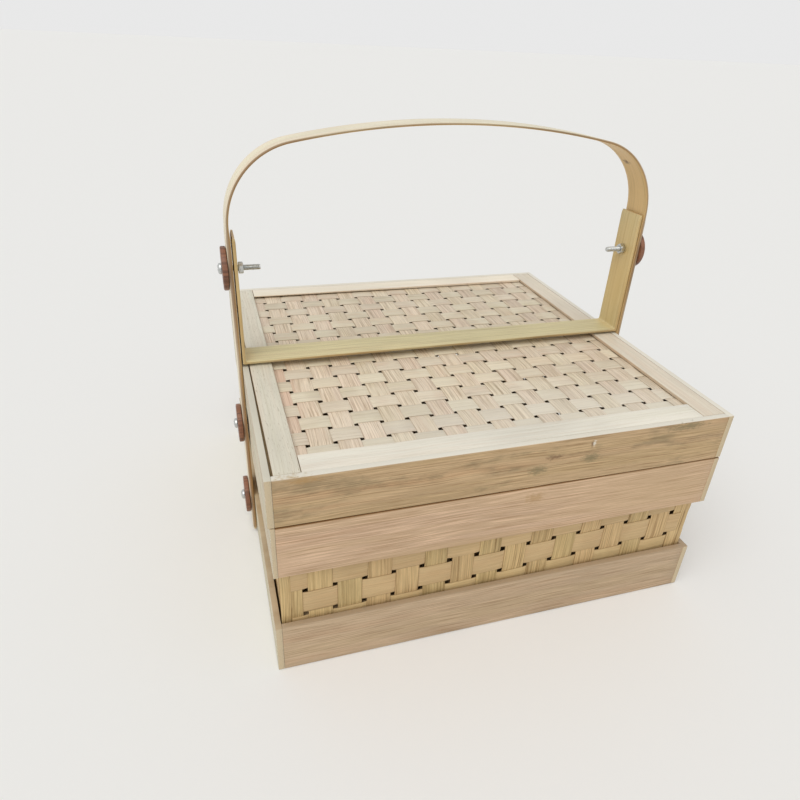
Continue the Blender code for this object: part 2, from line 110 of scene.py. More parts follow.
def triple(name, description, values, subtype, **more):
    """A property of three numbers."""
    return bpy.props.FloatVectorProperty(name=name, description=description, size=3,
                                         default=tuple(values), subtype=subtype, **more)


def colour(name, description, *screen):
    """A colour property, given as the 0 to 255 values seen on a screen."""
    return triple(name, description, (screen_to_linear(value / 255) for value in screen),
                  "COLOR", min=0.0, max=1.0)


def screen_to_linear(value):
    """The light that a screen value stands for."""
    return value / 12.92 if value <= 0.04045 else ((value + 0.055) / 1.055) ** 2.4


class BasketWeave(bpy.types.PropertyGroup):
    """Sizes of the split bamboo strips and how they are set."""
    thickness: length("Strip thickness", "Thickness of one split strip", 0.00030, 0.0002, 0.002)
    rounding: length("Edge rounding", "Rounding of a strip's edges", 0.00010, 0.0, 0.001)
    crown: length("Crown", "How much higher a strip is in the middle than at its edges", 0.00003)
    swell: amount("Swell", "Part of its width by which a strip is wider or narrower", 0.035)
    looseness: length("Looseness", "How far a strip stands off one it passes over", 0.0001)
    wander: length("Wander", "How far a strip strays sideways", 0.00036, 0.0, 0.002)
    wall_stake_pitch: length("Wall stake pitch", "From one upright stake to the next", 0.01865)
    wall_stake_space: length("Wall stake space", "Space between two stakes", 0.0033)
    wall_weaver_pitch: length("Wall weaver pitch", "From one row to the next", 0.0195)
    wall_weaver_space: length("Wall weaver space", "Space between two rows", 0.0030)
    wall_middle_row: length("Middle row height", "Middle of the row that shows whole", 0.0540)
    wall_rows: bpy.props.IntProperty(name="Wall rows", description="Rows of weavers in a wall",
                                     default=5, min=1, max=20)
    wall_inset: length("Wall inset", "How far inside its solid's middle a wall mat lies", 0.0002)
    front_climb: amount("Front climb", "Rise of the front wall's rows to the right", 0.033, -0.1)
    side_climb: amount("Side climb", "Rise of the other walls' rows", -0.010, -0.1)
    lid_warp_pitch: length("Lid warp pitch", "From one lid warp to the next", 0.0162)
    lid_warp_space: length("Lid warp space", "Space between two lid warps", 0.0026)
    lid_weft_pitch: length("Lid weft pitch", "From one lid weft to the next", 0.0162)
    lid_weft_space: length("Lid weft space", "Space between two lid wefts", 0.0028)
    lid_margin: length("Lid margin", "Mat's edge to where its outer strips are trimmed", 0.010)
    floor_pitch: length("Floor pitch", "From one floor strip to the next", 0.0470)
    floor_space: length("Floor space", "Space between two floor strips", 0.0030)


class BasketSlats(bpy.types.PropertyGroup):
    """How the flat slats, rails and bands are finished."""
    rounding: length("Edge rounding", "Rounding of a slat's edges", 0.00025, 0.0, 0.002)
    rail_rounding: length("Rail rounding", "Rounding of a lid rail's edges", 0.0004, 0.0, 0.002)
    waviness: length("Waviness", "Hand-planed unevenness of a face", 0.00012, 0.0, 0.001)
    joint: length("Joint", "How much nearer than the seats two slats' ends come", 0.00029)
    seam: length("Seam", "Shadow gap under the lid's skirt, beyond the seat", 0.0005)
    seam_end: amount("Seam's end", "Part of the seam that is left at its narrow end", 0.2)
    crack: length("Crack", "Gap beside the left rail at the front", 0.0011)
    back_gap: length("Back gap", "Planed off under the left end of the back rail", 0.0012)
    trim: length("Trim", "Planed off the left top slat at the front", 0.0012)


class BasketStraps(bpy.types.PropertyGroup):
    """Sizes of the bent handle and of the strap that holds the lid."""
    arch_thickness: length("Handle thickness", "Thickness of the handle's arms", 0.0028)
    neck_thickness: length("Neck thickness", "Thickness at the handle's shoulders", 0.0020)
    crown_thickness: length("Crown thickness", "Thickness of the handle over the top", 0.0016)
    width: length("Width", "Width of the strap and of the handle's arms", 0.0242)
    crown_width: length("Crown width", "Width of the handle over the top", 0.0228)
    shoulder: length("Shoulder radius", "Outer radius of the handle's shoulders", 0.0530)
    crown: length("Crown radius", "Outer radius of the handle's low crown", 0.5600)
    arch_wear: length("Handle wear", "Unevenness of the handle's edges", 0.0003)
    strap_thickness: length("Strap thickness", "Thickness of the retaining strap", 0.0021)
    strap_gap: length("Strap gap", "Room beside the legs, beyond the solid's own", 0.0004)
    strap_corner: length("Strap corner", "Inner bend radius at the strap's corners", 0.0014)
    fold: length("Fold", "Rounding of the strap's sharp outer corner", 0.0008)
    short_leg: length("Short leg", "How much shorter the strap's left leg is cut", 0.0060)
    strap_wear: length("Strap wear", "Unevenness of the strap's edges", 0.0004)
    rounding: length("Edge rounding", "Rounding of the straps' edges", 0.0007, 0.0, 0.002)


class BasketHardware(bpy.types.PropertyGroup):
    """Sizes of the wooden washers, screws and nuts."""
    washer_rounding: length("Washer rounding", "Rounding of a washer's rim", 0.0009, 0.0, 0.002)
    washer_room: length("Washer room", "Room round the shank in a washer", 0.0003)
    shank_radius: length("Shank radius", "Outside radius of the thread", 0.00195)
    thread_pitch: length("Thread pitch", "From one thread to the next", 0.0007)
    thread_depth: length("Thread depth", "Depth of the thread", 0.00036)
    head_radius: length("Head radius", "Radius of the round head", 0.0037)
    head_gap: length("Head gap", "From a washer's face to the head's seat", 0.0003)
    nut_width: length("Nut width", "Across the nut's flats", 0.0070)
    nut_room: length("Nut room", "Room round the shank in a nut", 0.0001)


class BasketColours(bpy.types.PropertyGroup):
    """Colours of the bamboo, the wood and the bare steel."""
    rail: colour("Rails", "Pale rails on the lid", 224, 213, 193)
    front_rail: colour("Front rail", "Nearly white rail along the front", 232, 226, 211)
    back_rail: colour("Back rail", "Pale rail along the back", 243, 232, 212)
    left_rail: colour("Left rail", "Greyish cream rail on the left", 217, 211, 193)
    rail_edge: colour("Rail edges", "Browned edges of the rails", 196, 152, 108)
    weft: colour("Lid wefts", "Cream strips that run across the lid", 220, 206, 182)
    warp: colour("Lid warps", "Tan strips that run front to back", 219, 202, 178)
    skirt: colour("Lid skirt", "Brown skirt round the lid", 191, 163, 124)
    left_slat: colour("Left slats", "Pale slats of the left side", 205, 197, 174)
    stain: colour("Skirt stain", "Grey-green weathering on the skirt", 136, 122, 88)
    top_slat: colour("Top slats", "Slats round the body's top", 207, 175, 145)
    bottom_slat: colour("Bottom slats", "Slats round the body's foot", 188, 164, 134)
    cut: colour("Cut ends", "Pale end grain", 200, 182, 150)
    stake: colour("Wall stakes", "Upright straw strips of the walls", 196, 168, 120)
    weaver: colour("Wall weavers", "Rows woven round the stakes", 203, 175, 128)
    band: colour("Inner bands", "Bands and battens inside", 204, 176, 134)
    strap: colour("Retaining strap", "Yellow olive strap over the lid", 206, 193, 151)
    strap_leg: colour("Strap legs", "Yellower bamboo of the strap's upright legs", 222, 186, 120)
    strap_edge: colour("Strap edges", "Orange-brown edges of the strap", 174, 138, 88)
    arch: colour("Handle outside", "Outer face of the handle", 236, 226, 198)
    arch_inside: colour("Handle inside", "Inner face of the handle", 222, 190, 134)
    arch_edge: colour("Handle edges", "Browned edges of the handle", 142, 102, 64)
    # Strip edges: partly the split strips' own brown, partly painted shade for the dark holes and
    # for the gaps where one strip dives under another.
    seam: colour("Strip edges", "Brown along the edges of split strips", 112, 68, 34)
    # Painted shade: the top slats' upper face, in the gap under the lid's skirt, gets this
    # orange-brown for the shadow that falls there.
    joint: colour("Upper joint", "Orange-brown edge under the lid's skirt", 150, 112, 70)
    salmon: colour("Outer warps", "Salmon strips beside the lid's left rail", 226, 178, 150)
    knot: colour("Knots", "Dark knots and nail marks", 96, 66, 36)
    washer: colour("Washers", "Red-brown wood", 132, 88, 64)
    steel: colour("Steel", "Zinc-plated screws and nuts", 205, 207, 205)
    floor: colour("Floor", "Plain pale floor", 242, 241, 238)


class BasketStage(bpy.types.PropertyGroup):
    """Camera and light."""
    lens: amount("Lens", "Focal length in millimetres on a 36 mm sensor", 28.266, 10.0, 200.0)
    place: triple("Camera place", "Where the camera stands", (-0.16508, -0.41363, 0.35060),
                  "TRANSLATION", unit="LENGTH")
    turn: triple("Camera turn", "How the camera is turned about X, Y and Z",
                 np.radians((60.1709, -2.4002, -16.6697)), "EULER", unit="ROTATION")
    sky: amount("Sky", "Brightness of the even light from all round", 0.56, 0.0, 5.0)
    lamp: amount("Lamp", "Strength of the broad soft light overhead", 1.46, 0.0, 200.0)
    lamp_spread: angle("Lamp spread", "How broad the lamp is in the sky", 55.0)
    lamp_tilt: angle("Lamp tilt", "How far the lamp leans from overhead", 34.0)
    lamp_heading: angle("Lamp heading", "Which way round the lamp leans", -40.0)
    backdrop: amount("Backdrop", "Brightness of the pale backdrop", 0.812)
    floor_reach: length("Floor reach", "Half the width of the floor", 40.0, 1.0, 100.0)
    floor_drop: length("Floor drop", "How far the floor lies under the basket", 0.0004)


def group(title, description, kind):
    """A group of settings."""
    return bpy.props.PointerProperty(name=title, description=description, type=kind)


class BasketSettings(bpy.types.PropertyGroup):
    """All of the basket's settings."""
    weave: group("Weave", "Strips and mats", BasketWeave)
    slats: group("Slats", "Slats, rails and bands", BasketSlats)
    straps: group("Straps", "Handle and retaining strap", BasketStraps)
    hardware: group("Hardware", "Washers, screws and nuts", BasketHardware)
    colours: group("Colours", "Colours of the pieces", BasketColours)
    stage: group("Stage", "Camera, light and floor", BasketStage)


# Surfaces worked out as arrays

def corners(node):
    """A solid's lowest and highest corner."""
    return np.array([list(corner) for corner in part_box(node)])


def pairs(x, z):
    """Points of a flat line, where either number may be the same for all."""
    return np.stack(np.broadcast_arrays(x, z), 1)


def travel(line):
    """How far along a line each of its points lies."""
    return np.concatenate([[0.0], np.cumsum(np.linalg.norm(np.diff(line, axis=0), axis=1))])


def unevenness(seed, along):
    """A smooth uneven line from -1 to 1: the mean of three sine waves of a length."""
    rng = np.random.default_rng(seed)
    sizes, speeds, starts = (rng.uniform(low, high, 3) for low, high in WAVES)
    angles = np.asarray(along)[..., None] * speeds + starts
    return (np.sin(angles) * sizes).sum(-1) / sizes.sum()


def pare(profiles, axis, amount_off, seed, along):
    """Move both sides of the profiles in by none to all of an amount, uneven by a length."""
    side = np.sign(profiles[..., axis])
    profiles[..., axis] -= amount_off * side * (0.5 + 0.5 * unevenness(seed, along))


def ease_ends(profiles, insets, width, thickness):
    """Shrink the profiles at both ends by the insets, the outermost first."""
    inset = np.zeros(len(profiles))
    for step, off in enumerate(insets):
        inset[[step, -1 - step]] = off
    profiles[..., 0] *= (1 - 2 * inset / width)[:, None]
    profiles[..., 1] *= (1 - 2 * inset / thickness)[:, None]


def flat_profile(width, thickness, rounding, arc_steps, face_steps):
    """A flat section with round corners, top from left to right and back along the bottom.

    Each corner is a quarter circle of the rounding; the faces between them are straight.
    The points of top and bottom face each other in pairs, so that a cap can join them.
    """
    turn = np.linspace(0, np.pi / 2, arc_steps + 1)
    left = -width / 2 + rounding * (1 - np.cos(turn))
    rise = thickness / 2 - rounding * (1 - np.sin(turn))
    inner = np.linspace(left[-1], -left[-1], face_steps + 1)[1:-1]
    x = np.concatenate([left, inner, -left[::-1]])
    y = np.concatenate([rise, np.full(len(inner), thickness / 2), rise[::-1]])
    return np.concatenate([pairs(x, y), pairs(x[::-1], -y[::-1])])


def closed(points, faces, grain, edge, side, end):
    """A closed shape, its faces turned round if the volume that they hold is negative.

    Each point carries its grain, how near an edge it lies from -1 to 1 and which face it is
    on, and each face whether it is a cut end.
    """
    points = points.reshape(-1, 3)
    ring = points[faces]
    fans = np.cross(ring[:, 1], ring[:, 2]) + np.cross(ring[:, 2], ring[:, 3])
    if (ring[:, 0] * fans).sum() < 0:
        faces = faces[:, ::-1]
    return {"points": points, "faces": faces, "grain": grain.reshape(-1, 3),
            "edge": edge.ravel(), "side": side.ravel(), "end": end}


def sweep(path, across, up, profiles, tone, half_width):
    """A closed solid: each ring is path + x * across + y * up for its profile's (x, y).

    Rings are joined by quads and both ends are capped by quads from top to bottom. Its
    grain is the length, the width and its own tone.
    """
    across, up = (np.broadcast_to(way, path.shape)[:, None] for way in (across, up))
    points = path[:, None] + profiles[..., :1] * across + profiles[..., 1:] * up
    rings, around = points.shape[:2]
    here, row = np.arange(around), np.arange(rings - 1)[:, None] * around
    beside, above = (here + 1) % around, row + around
    sides = np.stack([row + here, row + beside, above + beside, above + here], -1)
    i = np.arange(around // 2 - 1)
    cap = np.stack([i + 1, i, around - 1 - i, around - 2 - i], 1)
    faces = np.concatenate([sides.reshape(-1, 4), cap, cap[:, ::-1] + (rings - 1) * around])
    grain = np.stack(np.broadcast_arrays(travel(path)[:, None], profiles[..., 0], tone), -1)
    return closed(points, faces, grain, profiles[..., 0] / half_width,
                  np.sign(profiles[..., 1]), np.arange(len(faces)) >= sides.size // 4)


def turned(outline, sides, tone=0.0, wrap=True):
    """A solid turned about X: (x, r) goes to (x, r cos a, r sin a).

    There is one outline of (x, r) points for all of the turn, or one for each angle a. It
    is a closed loop, or without wrap it runs from the axis to the axis. The grain is the
    place on the face and the piece's own tone.
    """
    turn = np.linspace(0, 2 * np.pi, sides, endpoint=False)[:, None]
    outline = np.broadcast_to(outline, (sides,) + outline.shape[-2:])
    x, r = outline[..., 0], outline[..., 1]
    y, z = r * np.cos(turn), r * np.sin(turn)
    loop = x.shape[1]
    here, row = np.arange(loop if wrap else loop - 1), np.arange(sides)[:, None] * loop
    beside, above = (here + 1) % loop, (row + loop) % (sides * loop)
    faces = np.stack([row + here, row + beside, above + beside, above + here], -1)
    faces, flat = faces.reshape(-1, 4), np.zeros(x.shape)
    return closed(np.stack([x, y, z], -1), faces, np.stack([y, z, flat + tone], -1), flat,
                  flat + 1, np.zeros(len(faces)))


def placed(shape, matrix):
    """The shape turned and moved by a 4 by 4 matrix; its grain stays as it was."""
    matrix = np.array(matrix)
    return {**shape, "points": shape["points"] @ matrix[:3, :3].T + matrix[:3, 3]}


def piece(name, shapes, material, body, node, smooth=35.0):
    """One object from closed shapes that rides on its body and stands for a node."""
    starts = np.cumsum([0] + [len(shape["points"]) for shape in shapes])
    faces = np.concatenate([shape["faces"] + start for shape, start in zip(shapes, starts)])
    joined = {key: np.concatenate([shape[key] for shape in shapes]).astype(np.float32).ravel()
              for key in ("points", "grain", "edge", "side", "end")}
    mesh = bpy.data.meshes.new(name)
    mesh.vertices.add(starts[-1])
    mesh.vertices.foreach_set("co", joined["points"])
    mesh.loops.add(faces.size)
    mesh.loops.foreach_set("vertex_index", faces.ravel().astype(np.int32))
    mesh.polygons.add(len(faces))
    mesh.polygons.foreach_set("loop_start", np.arange(0, faces.size, 4, dtype=np.int32))
    mesh.update(calc_edges=True)
    for key, kind, domain, field in (("grain", "FLOAT_VECTOR", "POINT", "vector"),
                                     ("edge", "FLOAT", "POINT", "value"),
                                     ("side", "FLOAT", "POINT", "value"),
                                     ("end", "FLOAT", "FACE", "value")):
        mesh.attributes.new(key, kind, domain).data.foreach_set(field, joined[key])
    mesh.validate()
    mesh.shade_smooth()
    mesh.set_sharp_from_angle(angle=math.radians(smooth))
    mesh.materials.append(material)
    made = bpy.data.objects.new(name, mesh)
    bpy.context.scene.collection.objects.link(made)
    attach(made, body)
    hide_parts(node)
    return made


def weld(made):
    """Merge the points that meet at a turned piece's axis."""
    shape = bmesh.new()
    shape.from_mesh(made.data)
    bmesh.ops.remove_doubles(shape, verts=shape.verts, dist=1e-7)
    shape.to_mesh(made.data)
    shape.free()


# Woven mats

def strip_limits(half_span, pitch, space, strip_in_middle):
    """Low and high edge of each strip set at a pitch about the middle, trimmed to the span."""
    width = pitch - space
    steps = np.arange(-MOST_STRIPS, MOST_STRIPS + 1) + (0.0 if strip_in_middle else 0.5)
    low = np.maximum(steps * pitch - width / 2, -half_span)
    high = np.minimum(steps * pitch + width / 2, half_span)
    return pairs(low, high)[high - low >= NARROWEST * width]


def sample_strip(crossings, ends):
    """Lengths along a strip at which it gets a ring, close together where it bends."""
    middles = (crossings[:-1, 1] + crossings[1:, 0]) / 2
    half = (crossings[1:, 0] - crossings[:-1, 1]) / 2
    bends = middles[:, None] + half[:, None] * BEND_RINGS
    along = np.concatenate([bends.ravel(), crossings.mean(1), ends]).round(7)
    return np.unique(along)


def weave_height(along, crossings, heights):
    """Height of a strip's middle: its own height over each crossing strip.

    In each space it eases from one height to the next by a sine of the distance from the
    space's middle, held at a quarter turn beyond the reach.
    """
    middles = (crossings[:-1, 1] + crossings[1:, 0]) / 2
    reach = BEND_REACH * np.mean(crossings[1:, 0] - crossings[:-1, 1])
    near = np.searchsorted((middles[1:] + middles[:-1]) / 2, along)
    turn = np.clip((along - middles[near]) / reach, -1, 1)
    before, after = heights[near], heights[near + 1]
    return (before + after) / 2 + (after - before) / 2 * np.sin(np.pi / 2 * turn)


def woven_strip(edges, crossings, signs, ends, directions, origin, weave, seed, climb=0.0):
    """One strip: its line runs along the mat, rises and falls, and strays a little sideways.

    It lies the rise above or below the mat's middle, and a chance looseness higher where it
    passes over. Its line climbs sideways by the climb times the length, its width swells and
    shrinks, and it is crowned by a square of the distance from its middle.
    """
    along_way, across_way, out = (np.array(way, float) for way in directions)
    along = sample_strip(crossings, ends)
    along = along[(along >= ends[0]) & (along <= ends[1])]
    chance = np.random.default_rng(seed).random(len(signs)) ** 2
    heights = signs * (RISE * weave.thickness
                       + np.where(signs > 0, weave.looseness * chance, 0.0))
    height = weave_height(along, crossings, heights)
    middle = edges.mean() + weave.wander * unevenness(seed, along) + climb * along
    path = (origin + along[:, None] * along_way + middle[:, None] * across_way
            + height[:, None] * out)
    way = np.gradient(path, axis=0)
    up = np.cross(way / np.linalg.norm(way, axis=1)[:, None], across_way)
    up *= np.sign(up @ out)[:, None]
    width = edges[1] - edges[0]
    profile = flat_profile(width, weave.thickness, weave.rounding, 2, 4)
    profiles = np.repeat(profile[None], len(path), 0)
    profiles[..., 0] *= 1 + weave.swell * unevenness(seed + 500, along)[:, None]
    profiles[..., 1] += weave.crown * (1 - (2 * profiles[..., 0] / width) ** 2)
    return sweep(path, across_way, up, profiles, seed * 0.37 % 7, width / 2)


def woven_sets(warps, wefts, warp_ends, weft_ends, directions, origin, weave, seed, first,
               climb=0.0):
    """Warp strips and weft strips of a plain weave; first is the weft's side at the corner."""
    weft_way, warp_way, out = directions
    rows, columns = np.arange(len(wefts)), np.arange(len(warps))
    over = np.where((rows[:, None] + columns) % 2 == 0, first, -first)
    warp_set = [woven_strip(warps[c], wefts + climb * warps[c].mean(), -over[:, c], warp_ends,
                            (warp_way, weft_way, out), origin, weave, seed + c)
                for c in columns]
    weft_set = [woven_strip(wefts[r], warps, over[r], weft_ends, directions, origin, weave,
                            seed + 100 + r, climb) for r in rows]
    return warp_set, weft_set


def flat_mat(node, height, warps, wefts, weave, first):
    """The strips of a mat that lies flat at a height and fills a solid's length and width."""
    low, high = corners(node)
    return woven_sets(warps, wefts, (low[1], high[1]), (low[0], high[0]),
                      ((1, 0, 0), (0, 1, 0), (0, 0, 1)), np.array([0.0, 0.0, height]), weave,
                      SEEDS[node], first)


# Planks and bands

def plank(node, side, rounding, slats, seed):
    """A flat slat in a solid's box, its broad face uneven and its ends eased.

    The section is a rectangle with round corners, carried along the longest side. Faces and
    edges move in by the waviness times a mean of sine waves of the length, and the last
    rings shrink by the rounding.
    """
    low, high = corners(node)
    size = high - low
    thin, broad, long = np.argsort(size)
    face = np.eye(3)[thin] * (-1 if side[thin] < 0 else 1)
    ease = rounding * np.array([0.0, 0.3, 1.0])
    body = np.linspace(ease[-1], size[long] - ease[-1], max(3, int(size[long] / RING_STEP)))
    run = np.concatenate([ease[:-1], body, size[long] - ease[-2::-1]])
    profile = flat_profile(size[broad], size[thin], min(rounding, ROUNDEST * size[thin]), 3, 8)
    profiles = np.repeat(profile[None], len(run), 0)
    ease_ends(profiles, (0.8 * rounding, 0.3 * rounding), size[broad], size[thin])
    pare(profiles, 1, slats.waviness, seed, run[:, None] + 2.7 * profiles[..., 0])
    pare(profiles, 0, 1.5 * slats.waviness, seed + 9, run[:, None] + np.sign(profiles[..., 0]))
    path = (low + high) / 2 + (run - size[long] / 2)[:, None] * np.eye(3)[long]
    return sweep(path, np.eye(3)[broad], face, profiles, seed * 0.61 % 9, size[broad] / 2)


def planed(shape, axis, sign, start, end):
    """Plane a side off: its points move in by an amount that changes evenly along the slat.

    The side is all that lies beyond the middle on the axis; a negative amount adds to it.
    """
    points = shape["points"]
    low, high = points.min(0), points.max(0)
    longest = np.argmax(high - low)
    share = (points[:, longest] - low[longest]) / (high[longest] - low[longest])
    beyond = sign * (points[:, axis] - (low[axis] + high[axis]) / 2) > 0
    points[:, axis] -= sign * beyond * (start + (end - start) * share)


def lengthen(shape, joint):
    """Carry a slat's two ends further out along X, into its joints."""
    for sign in (-1, 1):
        planed(shape, 0, sign, -joint, -joint)


# Straps

def bend_points(half_path):
    """The whole line of a strap from its right half, with points at an even step."""
    line = np.concatenate([half_path, half_path[::-1][1:] * (-1, 1)])
    run = travel(line)
    even = np.linspace(0, run[-1], int(run[-1] / BEND_STEP))
    return pairs(np.interp(even, run, line[:, 0]), np.interp(even, run, line[:, 1]))


def arc(centre, radius, start, end, steps):
    """(x, z) points on a circle from one angle to another."""
    turn = np.linspace(start, end, steps)
    return pairs(centre[0] + radius * np.cos(turn), centre[1] + radius * np.sin(turn))


def strap(inside, outside, width, rounding, seed, wear):
    """A flat strap between an inner and an outer (x, z) line whose points face each other.

    The thickness is the distance from point to point, and the width one number or one for
    each point. The edges are round and a little uneven, and both ends are eased.
    """
    middle, through = (inside + outside) / 2, outside - inside
    thickness = np.linalg.norm(through, axis=1)
    path = np.insert(middle, 1, 0.0, axis=1)
    up = np.insert(through / thickness[:, None], 1, 0.0, axis=1)
    run, thinnest = travel(path), thickness.min()
    width = np.broadcast_to(width, run.shape)
    rounding = min(rounding, ROUNDEST * thinnest)
    profiles = np.repeat(flat_profile(width.max(), thinnest, rounding, 3, 8)[None],
                         len(path), 0)
    side = np.sign(profiles)
    profiles[..., 0] -= side[..., 0] * ((width.max() - width) / 2)[:, None]
    profiles[..., 1] += side[..., 1] * ((thickness - thinnest) / 2)[:, None]
    pare(profiles, 0, wear, seed, 2.5 * run[:, None] + side[..., 0])
    ease_ends(profiles, (0.5 * rounding,), width, thickness)
    return sweep(path, (0.0, 1.0, 0.0), up, profiles, seed, width[:, None] / 2)


def folded_strap(high, bar, thickness, radius, fold, shorter):
    """Inner and outer line of a strap that is folded sharply at two lower corners.

    high is the outer face and the top of the right leg, and bar the height of the lower
    face. At a corner each ray from the inner arc's centre meets the inner face at the radius
    and the outer face at (radius + thickness) / the larger of its sine and cosine, with the
    tip cut back. The left leg is cut shorter.
    """
    centre = np.array([high[0], bar]) + np.array([-1, 1]) * (thickness + radius)
    ray = arc((0, 0), 1, 0, -np.pi / 2, 25)
    tip = math.sqrt(2) * (radius + thickness) - FOLD_CUT * fold
    reach = np.minimum((radius + thickness) / np.abs(ray).max(1), tip)
    upright = np.linspace(high[1], centre[1], 40)[:-1]
    short = np.linspace(high[1] - shorter, centre[1], 40)[:-1]
    across = np.linspace(centre[0], -centre[0], 140)[1:-1]
    lines = []
    for depth, turn in ((thickness, centre + radius * ray), (0.0, centre + reach[:, None] * ray)):
        leg = high[0] - depth
        lines.append(np.concatenate([pairs(leg, upright), turn, pairs(across, bar + depth),
                                     turn[::-1] * (-1, 1), pairs(-leg, short[::-1])]))
    return lines


# Hardware

def washer_outline(near, far, hole, radius, rounding):
    """Half section of a round washer with both rims rounded by quarter circles."""
    turn = np.linspace(0, np.pi / 2, 6)
    inset, rise = rounding * (1 - np.cos(turn)), radius - rounding * (1 - np.sin(turn))
    face = np.linspace(hole, rise[0], 7)[:-1]
    return np.concatenate([pairs(far, face), pairs(far - inset, rise),
                           pairs(near + inset[::-1], rise[::-1]), pairs(near, face[::-1])])


def head_shape(seat, top, radius):
    """A pan head with a cross recess, on a fine polar grid.

    Its outline is a straight skirt, then a quarter ellipse up to the middle. The cross sinks
    x by a depth that fades with distance from two lines.
    """
    turn = np.linspace(0, np.pi / 2, 9)
    skirt = 0.35 * (top - seat)
    height = seat + skirt + (top - seat - skirt) * np.sin(turn)
    rings = radius * np.linspace(1.0, 0.0, 26) ** 0.9
    dome = pairs(np.interp(rings, (radius * np.cos(turn) ** 0.8)[::-1], height[::-1]), rings)
    foot = [[seat, 0.0], [seat, 0.94 * radius], [seat + 0.12 * skirt, radius]]
    shape = turned(np.concatenate([foot, dome]), sides=64, wrap=False)
    points = shape["points"]
    y, z = np.abs(points[:, 1]), np.abs(points[:, 2])
    narrow, long = 0.16 * radius, 0.52 * radius
    slot = np.minimum(np.maximum(y / narrow, z / long), np.maximum(z / narrow, y / long))
    depth = 0.38 * radius * np.clip((1.25 - slot) / 0.5, 0, 1)
    points[:, 0] -= np.where(points[:, 0] > top - 0.6 * radius, depth, 0.0)
    return shape


def thread_shape(start, end, radius, depth, pitch):
    """A threaded shank: radius falls by depth * |2 frac(x / pitch - angle / turn) - 1|.

    The thread fades in at both ends.
    """
    sides = 28
    x = np.linspace(start, end, int((end - start) / pitch * 8))
    part_of_turn = np.linspace(0, 1, sides, endpoint=False)[:, None]
    tooth = np.abs(2 * ((x / pitch - part_of_turn) % 1.0) - 1)
    fade = np.clip(np.minimum(x - start, end - x) / (1.5 * pitch), 0, 1)
    r = radius - depth * (1 - tooth * fade)
    line = np.stack(np.broadcast_arrays(x, r), -1)
    closed_line = np.concatenate([line[:, :1] * (1, 0), line, line[:, -1:] * (1, 0)], 1)
    return turned(closed_line, sides, wrap=False)


def nut_shape(low, high, width, hole):
    """A chamfered nut: radius is the hexagon's, cut by a cone at each end."""
    turn = np.linspace(0, 2 * np.pi, 72, endpoint=False)
    flat = (width / 2) / np.cos((turn + np.pi / 6) % (np.pi / 3) - np.pi / 6)
    rise, cut = np.array([[0.0, 0.0002, 0.00045], [0.000595, 0.0003325, 0.0]])
    x = np.concatenate([[low], low + rise, [(low + high) / 2], high - rise[::-1], [high]])
    cone = width / 2 / math.cos(math.pi / 6) - np.concatenate([[0], cut, [0], cut[::-1], [0]])
    r = np.minimum(flat[:, None], cone)
    r[:, 0] = r[:, -1] = hole
    return turned(np.stack(np.broadcast_arrays(x, r), -1), len(turn))


# Finishes

class Nodes:
    """A node tree and the few moves that are used to fill it."""

    def __init__(self, owner):
        owner.use_nodes = True
        self.nodes, self.links = owner.node_tree.nodes, owner.node_tree.links

    def add(self, kind, values=(), **settings):
        """Add a node, set its properties, and set or link its inputs."""
        node = self.nodes.new("ShaderNode" + kind)
        for key, value in settings.items():
            setattr(node, key, value)
        for key, value in dict(values).items():
            self.feed(node.inputs[key], value)
        return node

    def feed(self, socket, value):
        """Link a socket to an output, or set its number."""
        if isinstance(value, bpy.types.NodeSocket):
            self.links.new(value, socket)
        else:
            socket.default_value = value

    def math(self, operation, first, second=0.0, third=0.0):
        """A Math node's result."""
        return self.add("Math", {0: first, 1: second, 2: third}, operation=operation).outputs[0]

    def vector(self, operation, first, second, third=(0.0, 0.0, 0.0)):
        """A Vector Math node's vector."""
        return self.add("VectorMath", {0: first, 1: second, 2: third},
                        operation=operation).outputs[0]


class Finish(Nodes):
    """A material, with the tints that are laid over one another in it."""

    def __init__(self, name):
        self.material = bpy.data.materials.new(name)
        super().__init__(self.material)
        self.shader = self.nodes["Principled BSDF"].inputs

    def read(self, name):
        """The outputs of a node that reads one of the mesh's attributes."""
        return self.add("Attribute", attribute_name=name, attribute_type="GEOMETRY").outputs

    def span(self, value, low, high, to_low=0.0, to_high=1.0):
        """A value moved smoothly from one range to another."""
        return self.add("MapRange", {"Value": value, "From Min": low, "From Max": high,
                                     "To Min": to_low, "To Max": to_high},
                        interpolation_type="SMOOTHSTEP").outputs["Result"]

    def mix(self, factor, first, second):
        """Two colours mixed by a factor."""
        return self.add("Mix", {0: factor, 6: first, 7: second}, data_type="RGBA").outputs[2]

    def tinge(self, shade, tint, share, value, low, high):
        """The shade, turned to a tint by up to a share as a value goes from low to high."""
        return self.mix(self.span(value, low, high, 0.0, share), shade, tint)

    def noise(self, place, detail=1.0, roughness=0.55):
        """A noise value at a scaled place."""
        return self.add("TexNoise", {"Vector": place, "Scale": 1.0, "Detail": detail,
                                     "Roughness": roughness}).outputs[0]

    def surface(self, shade, roughness, height=None, strength=0.0, distance=0.0):
        """Give the shader its colour and roughness, and its bump where there is a height."""
        self.feed(self.shader["Base Color"], shade)
        self.feed(self.shader["Roughness"], roughness)
        if height is not None:
            bump = self.add("Bump", {"Height": height, "Strength": strength,
                                     "Distance": distance})
            self.feed(self.shader["Normal"], bump.outputs[0])
        return self.material


def rgba(tint, strength=1.0):
    """A colour with its fourth number, scaled by one strength or by one for each channel."""
    return (*np.minimum(np.array(tint) * strength, 1.0), 1.0)


